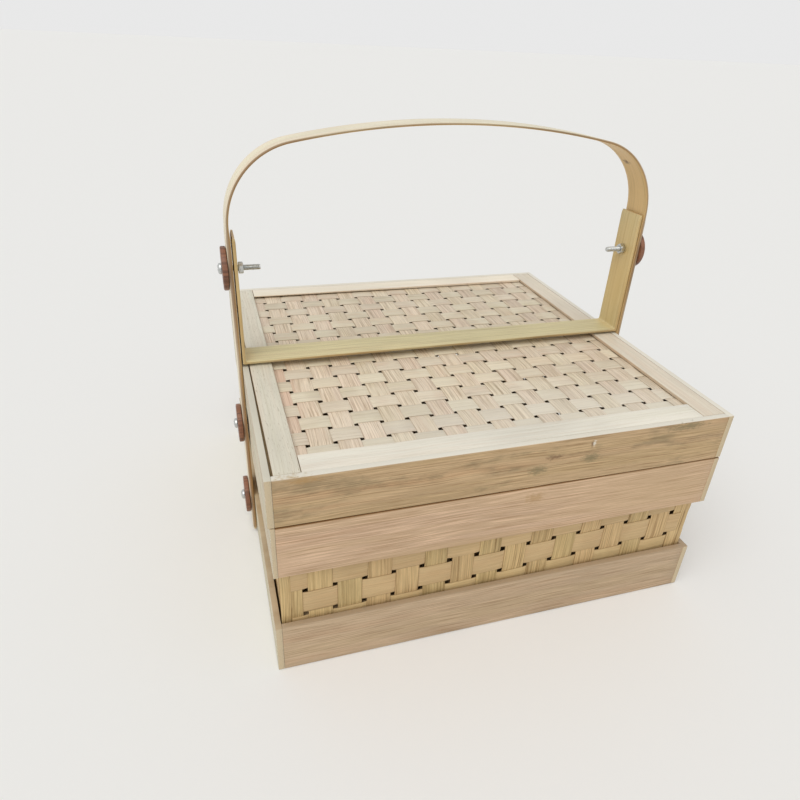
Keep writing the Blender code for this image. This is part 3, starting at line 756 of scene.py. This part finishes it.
class Bamboo(Finish):
    """The layers of split bamboo, all read from the grain: length, width and piece's tone.

    Its noises are stretched along the piece, fibres fifty times, streaks ninety and broad
    bands forty. The width is first moved by a slow drift, so that lines wander.
    """

    def __init__(self, name, base):
        super().__init__(name)
        self.base, self.deep = base, rgba(base, (0.46, 0.38, 0.28))
        grain = self.read("grain")["Vector"]
        run, width, tone = self.add("SeparateXYZ", {0: grain}).outputs
        chance = self.add("TexWhiteNoise", {"W": tone}, noise_dimensions="1D").outputs["Color"]
        self.lightness, self.hue, self.depth = self.add("SeparateColor", {0: chance}).outputs
        self.drift = self.noise(self.vector("MULTIPLY", grain, (14.0, 35.0, 1.0)))
        stray = self.math("SUBTRACT", self.drift, 0.5)
        width = self.math("MULTIPLY_ADD", stray, 0.0045, width)
        self.grain = self.add("CombineXYZ", {0: run, 1: width, 2: tone}).outputs[0]
        self.fine = self.grained(24.0, 1300.0, 0.0, 3.0, 0.66)
        self.streak = self.grained(6.5, 560.0, 3.1, 3.0, 0.66)
        self.broad = self.grained(2.6, 105.0, 7.7, 2.0, 0.55)
        self.place = self.add("TexCoord").outputs["Object"]

    def grained(self, along, across, shift, detail=2.0, roughness=0.5):
        """Noise scaled along and across the grain, with a shift of its own for each use."""
        place = self.vector("MULTIPLY_ADD", self.grain, (along, across, 13.7),
                            (0.0, 0.0, shift))
        return self.noise(place, detail, roughness)

    def ground(self, bands, cells):
        """Slow light and dark, with pinkish and greenish bands, and paler places."""
        slow, base = self.grained(11.0, 24.0, 1.3), self.base
        shade = self.tinge(rgba(base, 1.09), rgba(base, 0.91), 1.0, slow, 0.30, 0.70)
        pink, green = rgba(base, (1.03, 0.90, 0.84)), rgba(base, (0.96, 0.97, 0.86))
        shade = self.tinge(shade, pink, bands, self.broad, 0.50, 0.66)
        shade = self.tinge(shade, green, bands, self.broad, 0.50, 0.36)
        if not cells:
            return shade
        paler = self.grained(34.0, 20.0, 9.1, 1.0, 0.55)
        return self.tinge(shade, rgba(base, (1.10, 1.14, 1.15)), 0.75 * cells, paler, 0.47, 0.60)

    def streaked(self, shade, lines, cells):
        """Dark and pale lines, stronger in some pieces, and switched on and off by cells."""
        strength = self.math("MULTIPLY_ADD", self.depth, 0.8, 0.6)
        if cells:
            patch = self.grained(40.0, 0.0, 4.4, 1.0, 0.55)
            strength = self.math("MULTIPLY", strength,
                                 self.span(patch, 0.42, 0.58, 1 - cells, 1.3))
        for tint, share, low, high in ((self.deep, lines, 0.52, 0.68),
                                       (rgba(self.base, 1.35), 0.55 * lines, 0.47, 0.36)):
            reach = self.span(self.streak, low, high, 0.0, share)
            shade = self.mix(self.math("MULTIPLY", reach, strength), shade, tint)
        return shade

    def fibred(self, shade, fibre, flecks):
        """Fine dull and pale fibres, and short dark flecks."""
        dull, pale = rgba(self.base, (0.66, 0.58, 0.48)), rgba(self.base, 1.36)
        shade = self.tinge(shade, dull, fibre, self.fine, 0.50, 0.66)
        shade = self.tinge(shade, pale, 0.9 * fibre, self.fine, 0.48, 0.36)
        dash = self.grained(240.0, 2400.0, 5.0)
        return self.tinge(shade, self.deep, flecks, dash, 0.60, 0.74)

    def stained(self, shade, tint, share):
        """Ragged patches of weathering, darker in the fibres."""
        patch = self.grained(22.0, 70.0, 2.2, 5.0, 0.66)
        weathered = self.tinge(rgba(tint), rgba(tint, 0.62), 1.0, self.fine, 0.4, 0.65)
        return self.tinge(shade, weathered, share, patch, 0.50, 0.66)

    def varied(self, shade, strips):
        """Hue and lightness that differ from piece to piece."""
        return self.add("HueSaturation", {
            "Hue": self.span(self.hue, 0.0, 1.0, 0.5 - 0.10 * strips, 0.5 + 0.10 * strips),
            "Value": self.span(self.lightness, 0.0, 1.0, 1 - strips, 1 + 0.7 * strips),
            "Color": shade}).outputs[0]

    def inner_face(self, shade, tint):
        """The inner face in its own colour, with its fibres and lines."""
        inner = self.tinge(rgba(tint), rgba(tint, 0.6), 0.5, self.fine, 0.45, 0.8)
        inner = self.tinge(inner, rgba(tint, 0.55), 0.35, self.streak, 0.50, 0.70)
        return self.tinge(shade, inner, 1.0, self.read("side")["Fac"], 0.4, -0.4)

    def edged(self, shade, edge, upper):
        """A tint along the edges, or along one only, darker in uneven places: browned or worn
        edges on some pieces, painted shade on others.
        """
        tint, share, wear = edge
        near = self.read("edge")["Fac"]
        if not upper:
            near = self.math("ABSOLUTE", near)
        edge_wear_and_shade = self.tinge(rgba(tint), rgba(tint, wear), 1.0, self.drift, 0.35, 0.65)
        return self.tinge(shade, edge_wear_and_shade, share, near, 0.95, 0.995)

    def end_grain(self, shade, tint):
        """Dark pores in the cut ends."""
        pores = self.add("TexVoronoi", {"Vector": self.place, "Scale": 1500.0},
                         feature="F1").outputs["Distance"]
        cut = self.tinge(rgba(tint, 1.05), self.deep, 0.5, pores, 0.35, 0.10)
        return self.mix(self.read("end")["Fac"], shade, cut)

    def marked(self, shade, marks):
        """Tints that fade with distance from a place, ragged where the mark is small."""
        scratch = self.noise(self.vector("MULTIPLY", self.place, (330.0, 330.0, 1300.0)), 2.0,
                             0.6)
        for centre, reach, tint, share in marks:
            off = self.vector("DIVIDE", self.vector("SUBTRACT", self.place, centre), reach)
            away = self.add("VectorMath", {0: off}, operation="LENGTH").outputs["Value"]
            tear = 2.4 if max(reach) < SMALL_MARK else 0.2
            ragged = self.math("MULTIPLY_ADD", scratch, tear,
                               self.math("SUBTRACT", away, tear / 2))
            shade = self.tinge(shade, rgba(tint), share, ragged, 1.15, 0.15)
        return shade


def bamboo(name, base, lines=0.35, fibre=0.4, bands=0.3, flecks=0.2, strips=0.1, cells=0.0,
           rough=0.55, relief=0.5, edge=None, upper=False, inside=None, stain=None, cut=None,
           marks=()):
    """Split bamboo: fine fibres, dark and pale lines, broad bands, short flecks, slow tone.

    These are shares of their tints. cells says how far a noise of the length alone switches
    the lines on and off, and strips how far tone differs by piece. inside is the inner
    face's colour, cut the cut ends', and stain a colour and its share. The edge is a colour,
    its share and how much darker its uneven places are, and with upper it is only on one edge;
    on some pieces it is browned or worn edges, on others painted shade.
    Marks are knots, nail holes and broad tints: place, reach, colour and share.
    """
    finish = Bamboo(name, base)
    shade = finish.streaked(finish.ground(bands, cells), lines, cells)
    shade = finish.fibred(shade, fibre, flecks)
    if stain:
        shade = finish.stained(shade, *stain)
    shade = finish.varied(shade, strips)
    if inside:
        shade = finish.inner_face(shade, inside)
    shade = finish.edged(shade, edge or (finish.deep[:3], 0.3, 0.7), upper)
    shade = finish.end_grain(shade, cut or base)
    if marks:
        shade = finish.marked(shade, marks)
    finish.shader["Specular IOR Level"].default_value = 0.4
    height = finish.math("MULTIPLY", finish.math("ADD", finish.fine, finish.streak), 0.6)
    return finish.surface(shade, finish.span(finish.fine, 0.3, 0.7, rough - 0.07, rough + 0.09),
                          height, relief, 0.00022)


def front_mark(x, z, wide, tall, tint, share, deep=0.004):
    """A mark on the basket's front: its place, its reach, its colour and its share."""
    return (x, CAD_BOX[0][1], z), (wide, deep, tall), tint, share


def dark_wood(name, base):
    """Turned wood: lines across the disc and slow darker clouds, rubbed smooth."""
    finish = Finish(name)
    grain = finish.read("grain")["Vector"]
    lines = finish.noise(finish.vector("MULTIPLY_ADD", grain, (60.0, 700.0, 3.3),
                                       (0.0, 0.0, 0.7)), 4.0, 0.6)
    slow = finish.noise(finish.vector("MULTIPLY", grain, (180.0,) * 3), 2.0, 0.5)
    shade = finish.tinge(rgba(base, 1.25), rgba(base, 0.45), 1.0, lines, 0.40, 0.68)
    shade = finish.tinge(shade, rgba(base, 0.7), 0.35, slow, 0.3, 0.7)
    return finish.surface(shade, finish.span(lines, 0.3, 0.7, 0.36, 0.52), lines, 0.35, 0.0002)


def zinc(name, base):
    """Zinc-plated steel: bright, with slow changes of gloss and fine wear."""
    finish = Finish(name)
    place = finish.add("TexCoord").outputs["Object"]
    cloud = finish.noise(finish.vector("MULTIPLY", place, (900.0,) * 3), 3.0, 0.6)
    shade = finish.tinge(rgba(base), rgba(base, 0.78), 1.0, cloud, 0.35, 0.7)
    finish.shader["Metallic"].default_value = 1.0
    return finish.surface(shade, finish.span(cloud, 0.3, 0.7, 0.24, 0.42))


# Operators

class BASKET_OT_lid_mat(bpy.types.Operator):
    """Weave the lid's mat from loose strips"""
    bl_idname = "basket.lid_mat"
    bl_label = "Lid mat"

    def execute(self, context):
        weave, tint = context.scene.basket.weave, context.scene.basket.colours
        low, high = corners("lid_mat")
        above = (RISE + 0.5) * weave.thickness + weave.crown + weave.looseness
        warps = strip_limits(high[0] - weave.lid_margin, weave.lid_warp_pitch,
                             weave.lid_warp_space, True)
        wefts = strip_limits(high[1] - weave.lid_margin, weave.lid_weft_pitch,
                             weave.lid_weft_space, False)
        warp_set, weft_set = flat_mat("lid_mat", high[2] - above, warps, wefts, weave, -1)
        beside_rail = ((low[0] + 0.0215, -0.045, high[2]), (0.009, 0.085, 0.010), tint.salmon)
        near_front = ((0.050, low[1] + 0.020, high[2]), (0.200, 0.055, 0.010), tint.front_rail)
        # Edge tint: the strips' own brown edges, and painted shade of the holes and of the gaps
        # between crossing strips.
        edge = (tint.seam, 0.35, 0.6)
        warp_bamboo = bamboo("lid_warp_bamboo", tint.warp, lines=0.60, fibre=0.65, bands=0.4,
                             strips=0.09, cells=1.0, edge=edge,
                             marks=(beside_rail + (0.4,), near_front + (0.3,)))
        weft_bamboo = bamboo("lid_weft_bamboo", tint.weft, lines=0.22, fibre=0.30, bands=0.4,
                             flecks=0.1, strips=0.07, cells=0.95, rough=0.5, edge=edge,
                             marks=(near_front + (0.55,),))
        piece("lid_warps", warp_set, warp_bamboo, "lid", "lid_mat")
        piece("lid_wefts", weft_set, weft_bamboo, "lid", "lid_mat")
        return {"FINISHED"}


class BASKET_OT_wall_mats(bpy.types.Operator):
    """Weave the four wall mats from stakes and weavers"""
    bl_idname = "basket.wall_mats"
    bl_label = "Wall mats"

    def execute(self, context):
        weave, tint = context.scene.basket.weave, context.scene.basket.colours
        # Edge tint: the strips' own brown edges, and painted shade of the holes and of the gaps
        # between crossing strips.
        edge = (tint.seam, 0.4, 0.6)
        stake_bamboo = bamboo("stake_bamboo", tint.stake, lines=0.80, fibre=0.70, bands=0.15,
                              strips=0.06, cells=0.5, rough=0.6, edge=edge)
        weaver_bamboo = bamboo("weaver_bamboo", tint.weaver, lines=0.16, fibre=0.28, bands=0.2,
                               strips=0.05, cells=0.5, edge=edge)
        half = (weave.wall_weaver_pitch - weave.wall_weaver_space) / 2
        steps = np.arange(weave.wall_rows) - (weave.wall_rows - 1) / 2
        middles = weave.wall_middle_row + steps * weave.wall_weaver_pitch
        weavers = pairs(middles - half, middles + half)
        for number, side in enumerate(SIDES):
            node = side + "_wall_mat"
            low, high = corners(node)
            out, along = np.array(OUTWARD[side], float), np.array(ALONG[side], float)
            origin = out * (abs((low + high) / 2 @ out) - weave.wall_inset)
            half_span = abs((high - low) @ along) / 2
            stakes = strip_limits(half_span, weave.wall_stake_pitch, weave.wall_stake_space,
                                  False)
            climb = weave.front_climb if side == "front" else weave.side_climb
            stake_set, weaver_set = woven_sets(
                stakes, weavers, (low[2], high[2]), (-half_span, half_span),
                (along, (0, 0, 1), out), origin, weave, SEEDS["wall_mat"] + 200 * number, -1,
                climb)
            piece(side + "_stakes", stake_set, stake_bamboo, "basket", node)
            piece(side + "_weavers", weaver_set, weaver_bamboo, "basket", node)
        return {"FINISHED"}


class BASKET_OT_floor_mat(bpy.types.Operator):
    """Weave the floor mat from broad strips"""
    bl_idname = "basket.floor_mat"
    bl_label = "Floor mat"

    def execute(self, context):
        weave, tint = context.scene.basket.weave, context.scene.basket.colours
        low, high = corners("floor_mat")
        warps, wefts = (strip_limits(span, weave.floor_pitch, weave.floor_space, False)
                        for span in high[:2])
        warp_set, weft_set = flat_mat("floor_mat", (low[2] + high[2]) / 2, warps, wefts, weave, 1)
        finish = bamboo("floor_bamboo", tint.weaver, lines=0.4, fibre=0.5, rough=0.6)
        piece("floor_strips", warp_set + weft_set, finish, "basket", "floor_mat")
        return {"FINISHED"}


class BASKET_OT_lid_frame(bpy.types.Operator):
    """Plane the lid's rails, skirt and battens"""
    bl_idname = "basket.lid_frame"
    bl_label = "Lid frame"

    def execute(self, context):
        slats, tint = context.scene.basket.slats, context.scene.basket.colours
        browned = (tint.rail_edge, 0.5, 0.7)
        rails = {side: bamboo(name, shade, lines=0.12, fibre=0.20, bands=0.25, flecks=flecks,
                              strips=0.02, rough=0.5, cut=tint.cut, edge=edge)
                 for side, name, shade, flecks, edge in (
                     ("right", "rail_bamboo", tint.rail, 0.3, browned),
                     ("back", "back_rail_bamboo", tint.back_rail, 0.2, (tint.rail_edge, 0.3, 0.7)),
                     ("front", "front_rail_bamboo", tint.front_rail, 0.2,
                      (tint.front_rail, 1.0, 0.97)),
                     ("left", "left_rail_bamboo", tint.left_rail, 0.6, browned))}
        knot = front_mark(0.022, 0.1370, 0.007, 0.0022, tint.knot, 0.6)
        under_knot = front_mark(0.012, 0.1290, 0.008, 0.0040, tint.stain, 0.8)
        under_nail = front_mark(0.048, 0.1325, 0.007, 0.0040, tint.stain, 0.9)
        beside_nail = front_mark(0.0466, 0.1430, 0.0012, 0.0030, tint.knot, 0.7)
        nail = front_mark(0.048, 0.1433, 0.0012, 0.0026, tint.front_rail, 0.8)
        rubbed_corner = front_mark(-0.137, 0.1510, 0.016, 0.0030, tint.cut, 1.0, 0.009)
        right_stain = front_mark(0.115, 0.1458, 0.018, 0.0030, tint.stain, 0.8)
        left_brown = front_mark(-0.129, 0.1463, 0.011, 0.0026, tint.strap_edge, 0.75, 0.003)
        marks = (knot, under_knot, under_nail, beside_nail, nail, rubbed_corner, right_stain,
                 left_brown)
        look = dict(lines=0.18, fibre=0.85, strips=0.03, rough=0.6, cut=tint.cut, relief=0.8,
                    upper=True)
        skirt = bamboo("skirt_bamboo", tint.skirt, bands=0.6, stain=(tint.stain, 0.5),
                       marks=marks, edge=(tint.front_rail, 1.0, 0.97), **look)
        left_skirt = bamboo("left_skirt_bamboo", tint.left_slat, bands=0.8,
                            stain=(tint.skirt, 0.4), edge=(tint.left_rail, 1.0, 0.86), **look)
        inner = bamboo("batten_bamboo", tint.band, lines=0.3, fibre=0.35, rough=0.6)
        fits = {"front": (1, -1, -slats.joint, -slats.joint),
                "left": (0, -1, slats.crack, -slats.joint), "back": (2, -1, slats.back_gap, 0.0)}
        for number, side in enumerate(SIDES):
            node = side + "_lid_rail"
            shape = plank(node, (0, 0, 1), slats.rail_rounding, slats,
                          SEEDS["lid_rail"] + number)
            if side in fits:
                planed(shape, *fits[side])
            piece(side + "_rail", [shape], rails[side], "lid", node)
            node = side + "_lid_skirt"
            shape = plank(node, OUTWARD[side], slats.rounding, slats,
                          SEEDS["lid_skirt"] + number)
            planed(shape, 2, -1, slats.seam, slats.seam_end * slats.seam)
            if side in ("front", "back"):
                lengthen(shape, slats.joint)
            piece(side + "_skirt", [shape], left_skirt if side == "left" else skirt, "lid",
                  node)
            node = side + "_lid_batten"
            shape = plank(node, (0, 0, 1), slats.rounding, slats, SEEDS["lid_batten"] + number)
            piece(side + "_batten", [shape], inner, "lid", node)
        return {"FINISHED"}


class BASKET_OT_body_frame(bpy.types.Operator):
    """Plane the body's outer slats, inner bands and floor battens"""
    bl_idname = "basket.body_frame"
    bl_label = "Body frame"

    def execute(self, context):
        slats, tint = context.scene.basket.slats, context.scene.basket.colours
        look = dict(lines=0.10, fibre=0.75, strips=0.03, rough=0.6, relief=0.8, cut=tint.cut,
                    upper=True)
        stain = front_mark(0.0134, 0.1075, 0.007, 0.0045, tint.strap_edge, 0.55)
        lower_edge = front_mark(-0.040, 0.0800, 0.120, 0.0055, tint.skirt, 0.55)
        right_end = front_mark(0.110, 0.0900, 0.070, 0.0400, tint.skirt, 0.40)
        # Painted shade: the bottom slats' upward face is painted darker than the slat, to take
        # away the extra light that it catches.
        shaded = tuple(0.84 * part for part in tint.bottom_slat)
        # The top slats' upper edge takes the upper joint's orange-brown: painted shade of the gap
        # under the lid's skirt.
        upper = bamboo("top_slat_bamboo", tint.top_slat, bands=0.45,
                       edge=(tint.joint, 1.0, 0.8), marks=(stain, lower_edge, right_end),
                       **look)
        lower = bamboo("bottom_slat_bamboo", tint.bottom_slat, bands=0.4,
                       edge=(shaded, 1.0, 0.95), **look)
        left = bamboo("left_slat_bamboo", tint.left_slat, bands=0.8,
                      edge=(tint.skirt, 0.6, 0.8), **look)
        inner = bamboo("band_bamboo", tint.band, lines=0.3, fibre=0.35, rough=0.6)
        for number, side in enumerate(SIDES):
            for kind, finish in (("top_slat", upper), ("bottom_slat", lower),
                                 ("rim_band", inner), ("foot_band", inner)):
                node, outer = f"{side}_{kind}", finish is not inner
                shape = plank(node, OUTWARD[side], slats.rounding, slats,
                              number + 7 * len(kind))
                if outer and side in ("front", "back"):
                    lengthen(shape, slats.joint)
                if node == "left_top_slat":
                    planed(shape, 0, -1, slats.trim, 0.0)
                piece(node + "_planed", [shape], left if outer and side == "left" else finish,
                      "basket", node)
        for number, place in enumerate(("front", "middle", "back")):
            node = f"floor_{place}_batten"
            shape = plank(node, (0, 0, -1), slats.rounding, slats,
                          SEEDS["floor_batten"] + number)
            piece(node + "_planed", [shape], inner, "basket", node)
        return {"FINISHED"}


class BASKET_OT_handle(bpy.types.Operator):
    """Bend the handle over the basket"""
    bl_idname = "basket.handle"
    bl_label = "Handle"

    def execute(self, context):
        straps, tint = context.scene.basket.straps, context.scene.basket.colours
        low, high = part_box("handle_arch")
        half, bend = straps.arch_thickness / 2, straps.crown - straps.shoulder
        shoulder_x, crown_z = high.x - straps.shoulder, high.z - straps.crown
        meet = math.acos(shoulder_x / bend)
        shoulder_z = crown_z + bend * math.sin(meet)
        middle = bend_points(np.concatenate([
            [[high.x - half, low.z]],
            arc((shoulder_x, shoulder_z), straps.shoulder - half, 0, meet, 40),
            arc((0, crown_z), straps.crown - half, meet, math.pi / 2, 60)[1:-1],
            [[0.0, high.z - half]]]))
        way = np.gradient(middle, axis=0)
        outward = pairs(way[:, 1], -way[:, 0]) / np.linalg.norm(way, axis=1)[:, None]
        risen = np.clip((middle[:, 1] - shoulder_z) / (high.z - shoulder_z), 0, 1)
        legs_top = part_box("retaining_strap")[1].z - straps.short_leg
        thickness = np.interp(middle[:, 1], (legs_top, shoulder_z, high.z),
                              (straps.arch_thickness, straps.neck_thickness,
                               straps.crown_thickness))
        depth = outward * thickness[:, None] / 2
        width = straps.width * (1 - risen) + straps.crown_width * risen
        shape = strap(middle - depth, middle + depth, width, straps.rounding,
                      SEEDS["handle"], straps.arch_wear)
        knot = ((0.1356, 0.003, 0.2800), (0.003, 0.0045, 0.0022), tint.knot, 0.9)
        finish = bamboo("handle_bamboo", tint.arch, lines=0.25, fibre=0.25, bands=0.4,
                        rough=0.42, relief=0.35, edge=(tint.arch_edge, 0.8, 0.7),
                        inside=tint.arch_inside, cut=tint.cut, marks=(knot,))
        piece("handle_bent", [shape], finish, "basket", "handle_arch")
        return {"FINISHED"}


class BASKET_OT_retaining_strap(bpy.types.Operator):
    """Bend the strap that lies over the lid"""
    bl_idname = "basket.retaining_strap"
    bl_label = "Retaining strap"

    def execute(self, context):
        straps, tint = context.scene.basket.straps, context.scene.basket.colours
        low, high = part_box("retaining_strap")
        inside, outside = folded_strap((high.x - straps.strap_gap, high.z), low.z,
                                       straps.strap_thickness, straps.strap_corner,
                                       straps.fold, straps.short_leg)
        shape = strap(inside, outside, straps.width, straps.rounding, SEEDS["strap"],
                      straps.strap_wear)
        legs = tuple(((x, 0.0, 0.200), (0.012, 0.035, 0.078), tint.strap_leg, 0.6)
                     for x in (low.x, high.x))
        finish = bamboo("strap_bamboo", tint.strap, lines=0.3, fibre=0.35, rough=0.45,
                        relief=0.4, edge=(tint.strap_edge, 0.8, 0.6), cut=tint.cut, marks=legs)
        piece("strap_bent", [shape], finish, "strap", "retaining_strap")
        return {"FINISHED"}


class BASKET_OT_hardware(bpy.types.Operator):
    """Turn the washers and cut the screws and nuts"""
    bl_idname = "basket.hardware"
    bl_label = "Washers, screws and nuts"

    def execute(self, context):
        parts, tint = context.scene.basket.hardware, context.scene.basket.colours
        wood, steel = dark_wood("washer_wood", tint.washer), zinc("screw_zinc", tint.steel)
        for number, side in enumerate(("left", "right")):
            for step, place in enumerate(("pivot", "slat", "foot")):
                washer, screw, nut = (f"{side}_{place}_{kind}"
                                      for kind in ("washer", "bolt", "nut"))
                low, high = corners(washer)
                lift = Matrix.Translation((0, 0, (low[2] + high[2]) / 2))
                if side == "left":
                    lift = lift @ Matrix.Rotation(math.pi, 4, "Z")
                spin = lift @ Matrix.Rotation(0.9 * step + number, 4, "X")
                near, far = sorted((abs(low[0]), abs(high[0])))
                outline = washer_outline(near, far, parts.shank_radius + parts.washer_room,
                                         (high[1] - low[1]) / 2, parts.washer_rounding)
                disc = turned(outline, sides=72, tone=step + 2.3 * number)
                piece(washer + "_turned", [placed(disc, spin)], wood, "basket", washer)
                tip, top = sorted(abs(corners(screw)[:, 0]))
                seat = far + parts.head_gap
                head = head_shape(seat, top, parts.head_radius)
                shank = thread_shape(tip, seat, parts.shank_radius, parts.thread_depth,
                                     parts.thread_pitch)
                weld(piece(screw + "_threaded", [placed(head, spin), placed(shank, lift)],
                           steel, "basket", screw, smooth=40.0))
                near, far = sorted(abs(corners(nut)[:, 0]))
                block = nut_shape(near, far, parts.nut_width,
                                  parts.shank_radius + parts.nut_room)
                piece(nut + "_cut", [placed(block, spin)], steel, "basket", nut,
                      smooth=25.0)
        return {"FINISHED"}


class BASKET_OT_stage(bpy.types.Operator):
    """Set the floor, the soft light and the camera"""
    bl_idname = "basket.stage"
    bl_label = "Stage"

    def execute(self, context):
        scene, stage = context.scene, context.scene.basket.stage
        paper = Finish("floor_paper")
        paper.shader["Specular IOR Level"].default_value = 0.1
        mesh, reach = bpy.data.meshes.new("stage_floor"), stage.floor_reach
        mesh.from_pydata([(-reach, -reach, 0), (reach, -reach, 0), (reach, reach, 0),
                          (-reach, reach, 0)], [], [(0, 1, 2, 3)])
        mesh.materials.append(paper.surface(rgba(scene.basket.colours.floor), 0.9))
        floor = bpy.data.objects.new("stage_floor", mesh)
        floor.location.z = -stage.floor_drop
        scene.world = bpy.data.worlds.new("stage_world")
        tree = Nodes(scene.world)
        sky = tree.nodes["Background"]
        tree.feed(sky.inputs["Color"], rgba(SKY_TINT))
        tree.feed(sky.inputs["Strength"], stage.sky)
        pale = tree.add("Background", {"Color": rgba(WHITE), "Strength": stage.backdrop})
        rays = tree.add("LightPath").outputs
        seen = tree.math("MAXIMUM", rays["Is Camera Ray"], rays["Is Glossy Ray"])
        pick = tree.add("MixShader", {0: seen, 1: sky.outputs[0], 2: pale.outputs[0]})
        tree.feed(tree.nodes["World Output"].inputs["Surface"], pick.outputs[0])
        light = bpy.data.lights.new("stage_lamp", "SUN")
        light.angle, light.energy, light.color = stage.lamp_spread, stage.lamp, LAMP_TINT
        lamp = bpy.data.objects.new("stage_lamp", light)
        lamp.matrix_world = (Matrix.Rotation(stage.lamp_heading, 4, "Z")
                             @ Matrix.Rotation(stage.lamp_tilt, 4, "X"))
        view = bpy.data.cameras.new("stage_camera")
        view.lens, view.sensor_width, view.clip_start = stage.lens, 36.0, 0.01
        camera = bpy.data.objects.new("stage_camera", view)
        camera.matrix_world = (Matrix.Translation(stage.place)
                               @ Euler(stage.turn).to_matrix().to_4x4())
        for made in (floor, lamp, camera):
            scene.collection.objects.link(made)
        scene.camera = camera
        scene.view_settings.view_transform = "Standard"
        return {"FINISHED"}


class BASKET_PT_panel(bpy.types.Panel):
    """Lists the basket's pieces"""
    bl_idname = "BASKET_PT_panel"
    bl_label = "Bamboo basket"
    bl_space_type = "VIEW_3D"
    bl_region_type = "UI"
    bl_category = "Basket"

    def draw(self, context):
        layout, basket = self.layout, context.scene.basket
        for operator in OPERATORS:
            layout.operator(operator.bl_idname)
        for title in BasketSettings.__annotations__:
            box, values = layout.box(), getattr(basket, title)
            box.label(text=title.capitalize())
            for name in values.__annotations__:
                box.prop(values, name)


OPERATORS = (BASKET_OT_lid_mat, BASKET_OT_wall_mats, BASKET_OT_floor_mat,
             BASKET_OT_lid_frame, BASKET_OT_body_frame, BASKET_OT_handle,
             BASKET_OT_retaining_strap, BASKET_OT_hardware, BASKET_OT_stage)
GROUPS = (BasketWeave, BasketSlats, BasketStraps, BasketHardware, BasketColours, BasketStage,
          BasketSettings)


def register():
    """Register the groups, the operators and the panel."""
    for item in GROUPS + OPERATORS + (BASKET_PT_panel,):
        bpy.utils.register_class(item)
    bpy.types.Scene.basket = bpy.props.PointerProperty(type=BasketSettings)


def unregister():
    """Take them out again."""
    del bpy.types.Scene.basket
    for item in reversed(GROUPS + OPERATORS + (BASKET_PT_panel,)):
        bpy.utils.unregister_class(item)


def main():
    """Build the basket piece by piece."""
    register()
    bpy.ops.basket.lid_mat()
    bpy.ops.basket.wall_mats()
    bpy.ops.basket.floor_mat()
    bpy.ops.basket.lid_frame()
    bpy.ops.basket.body_frame()
    bpy.ops.basket.handle()
    bpy.ops.basket.retaining_strap()
    bpy.ops.basket.hardware()
    bpy.ops.basket.stage()


if __name__ == "__main__":
    main()
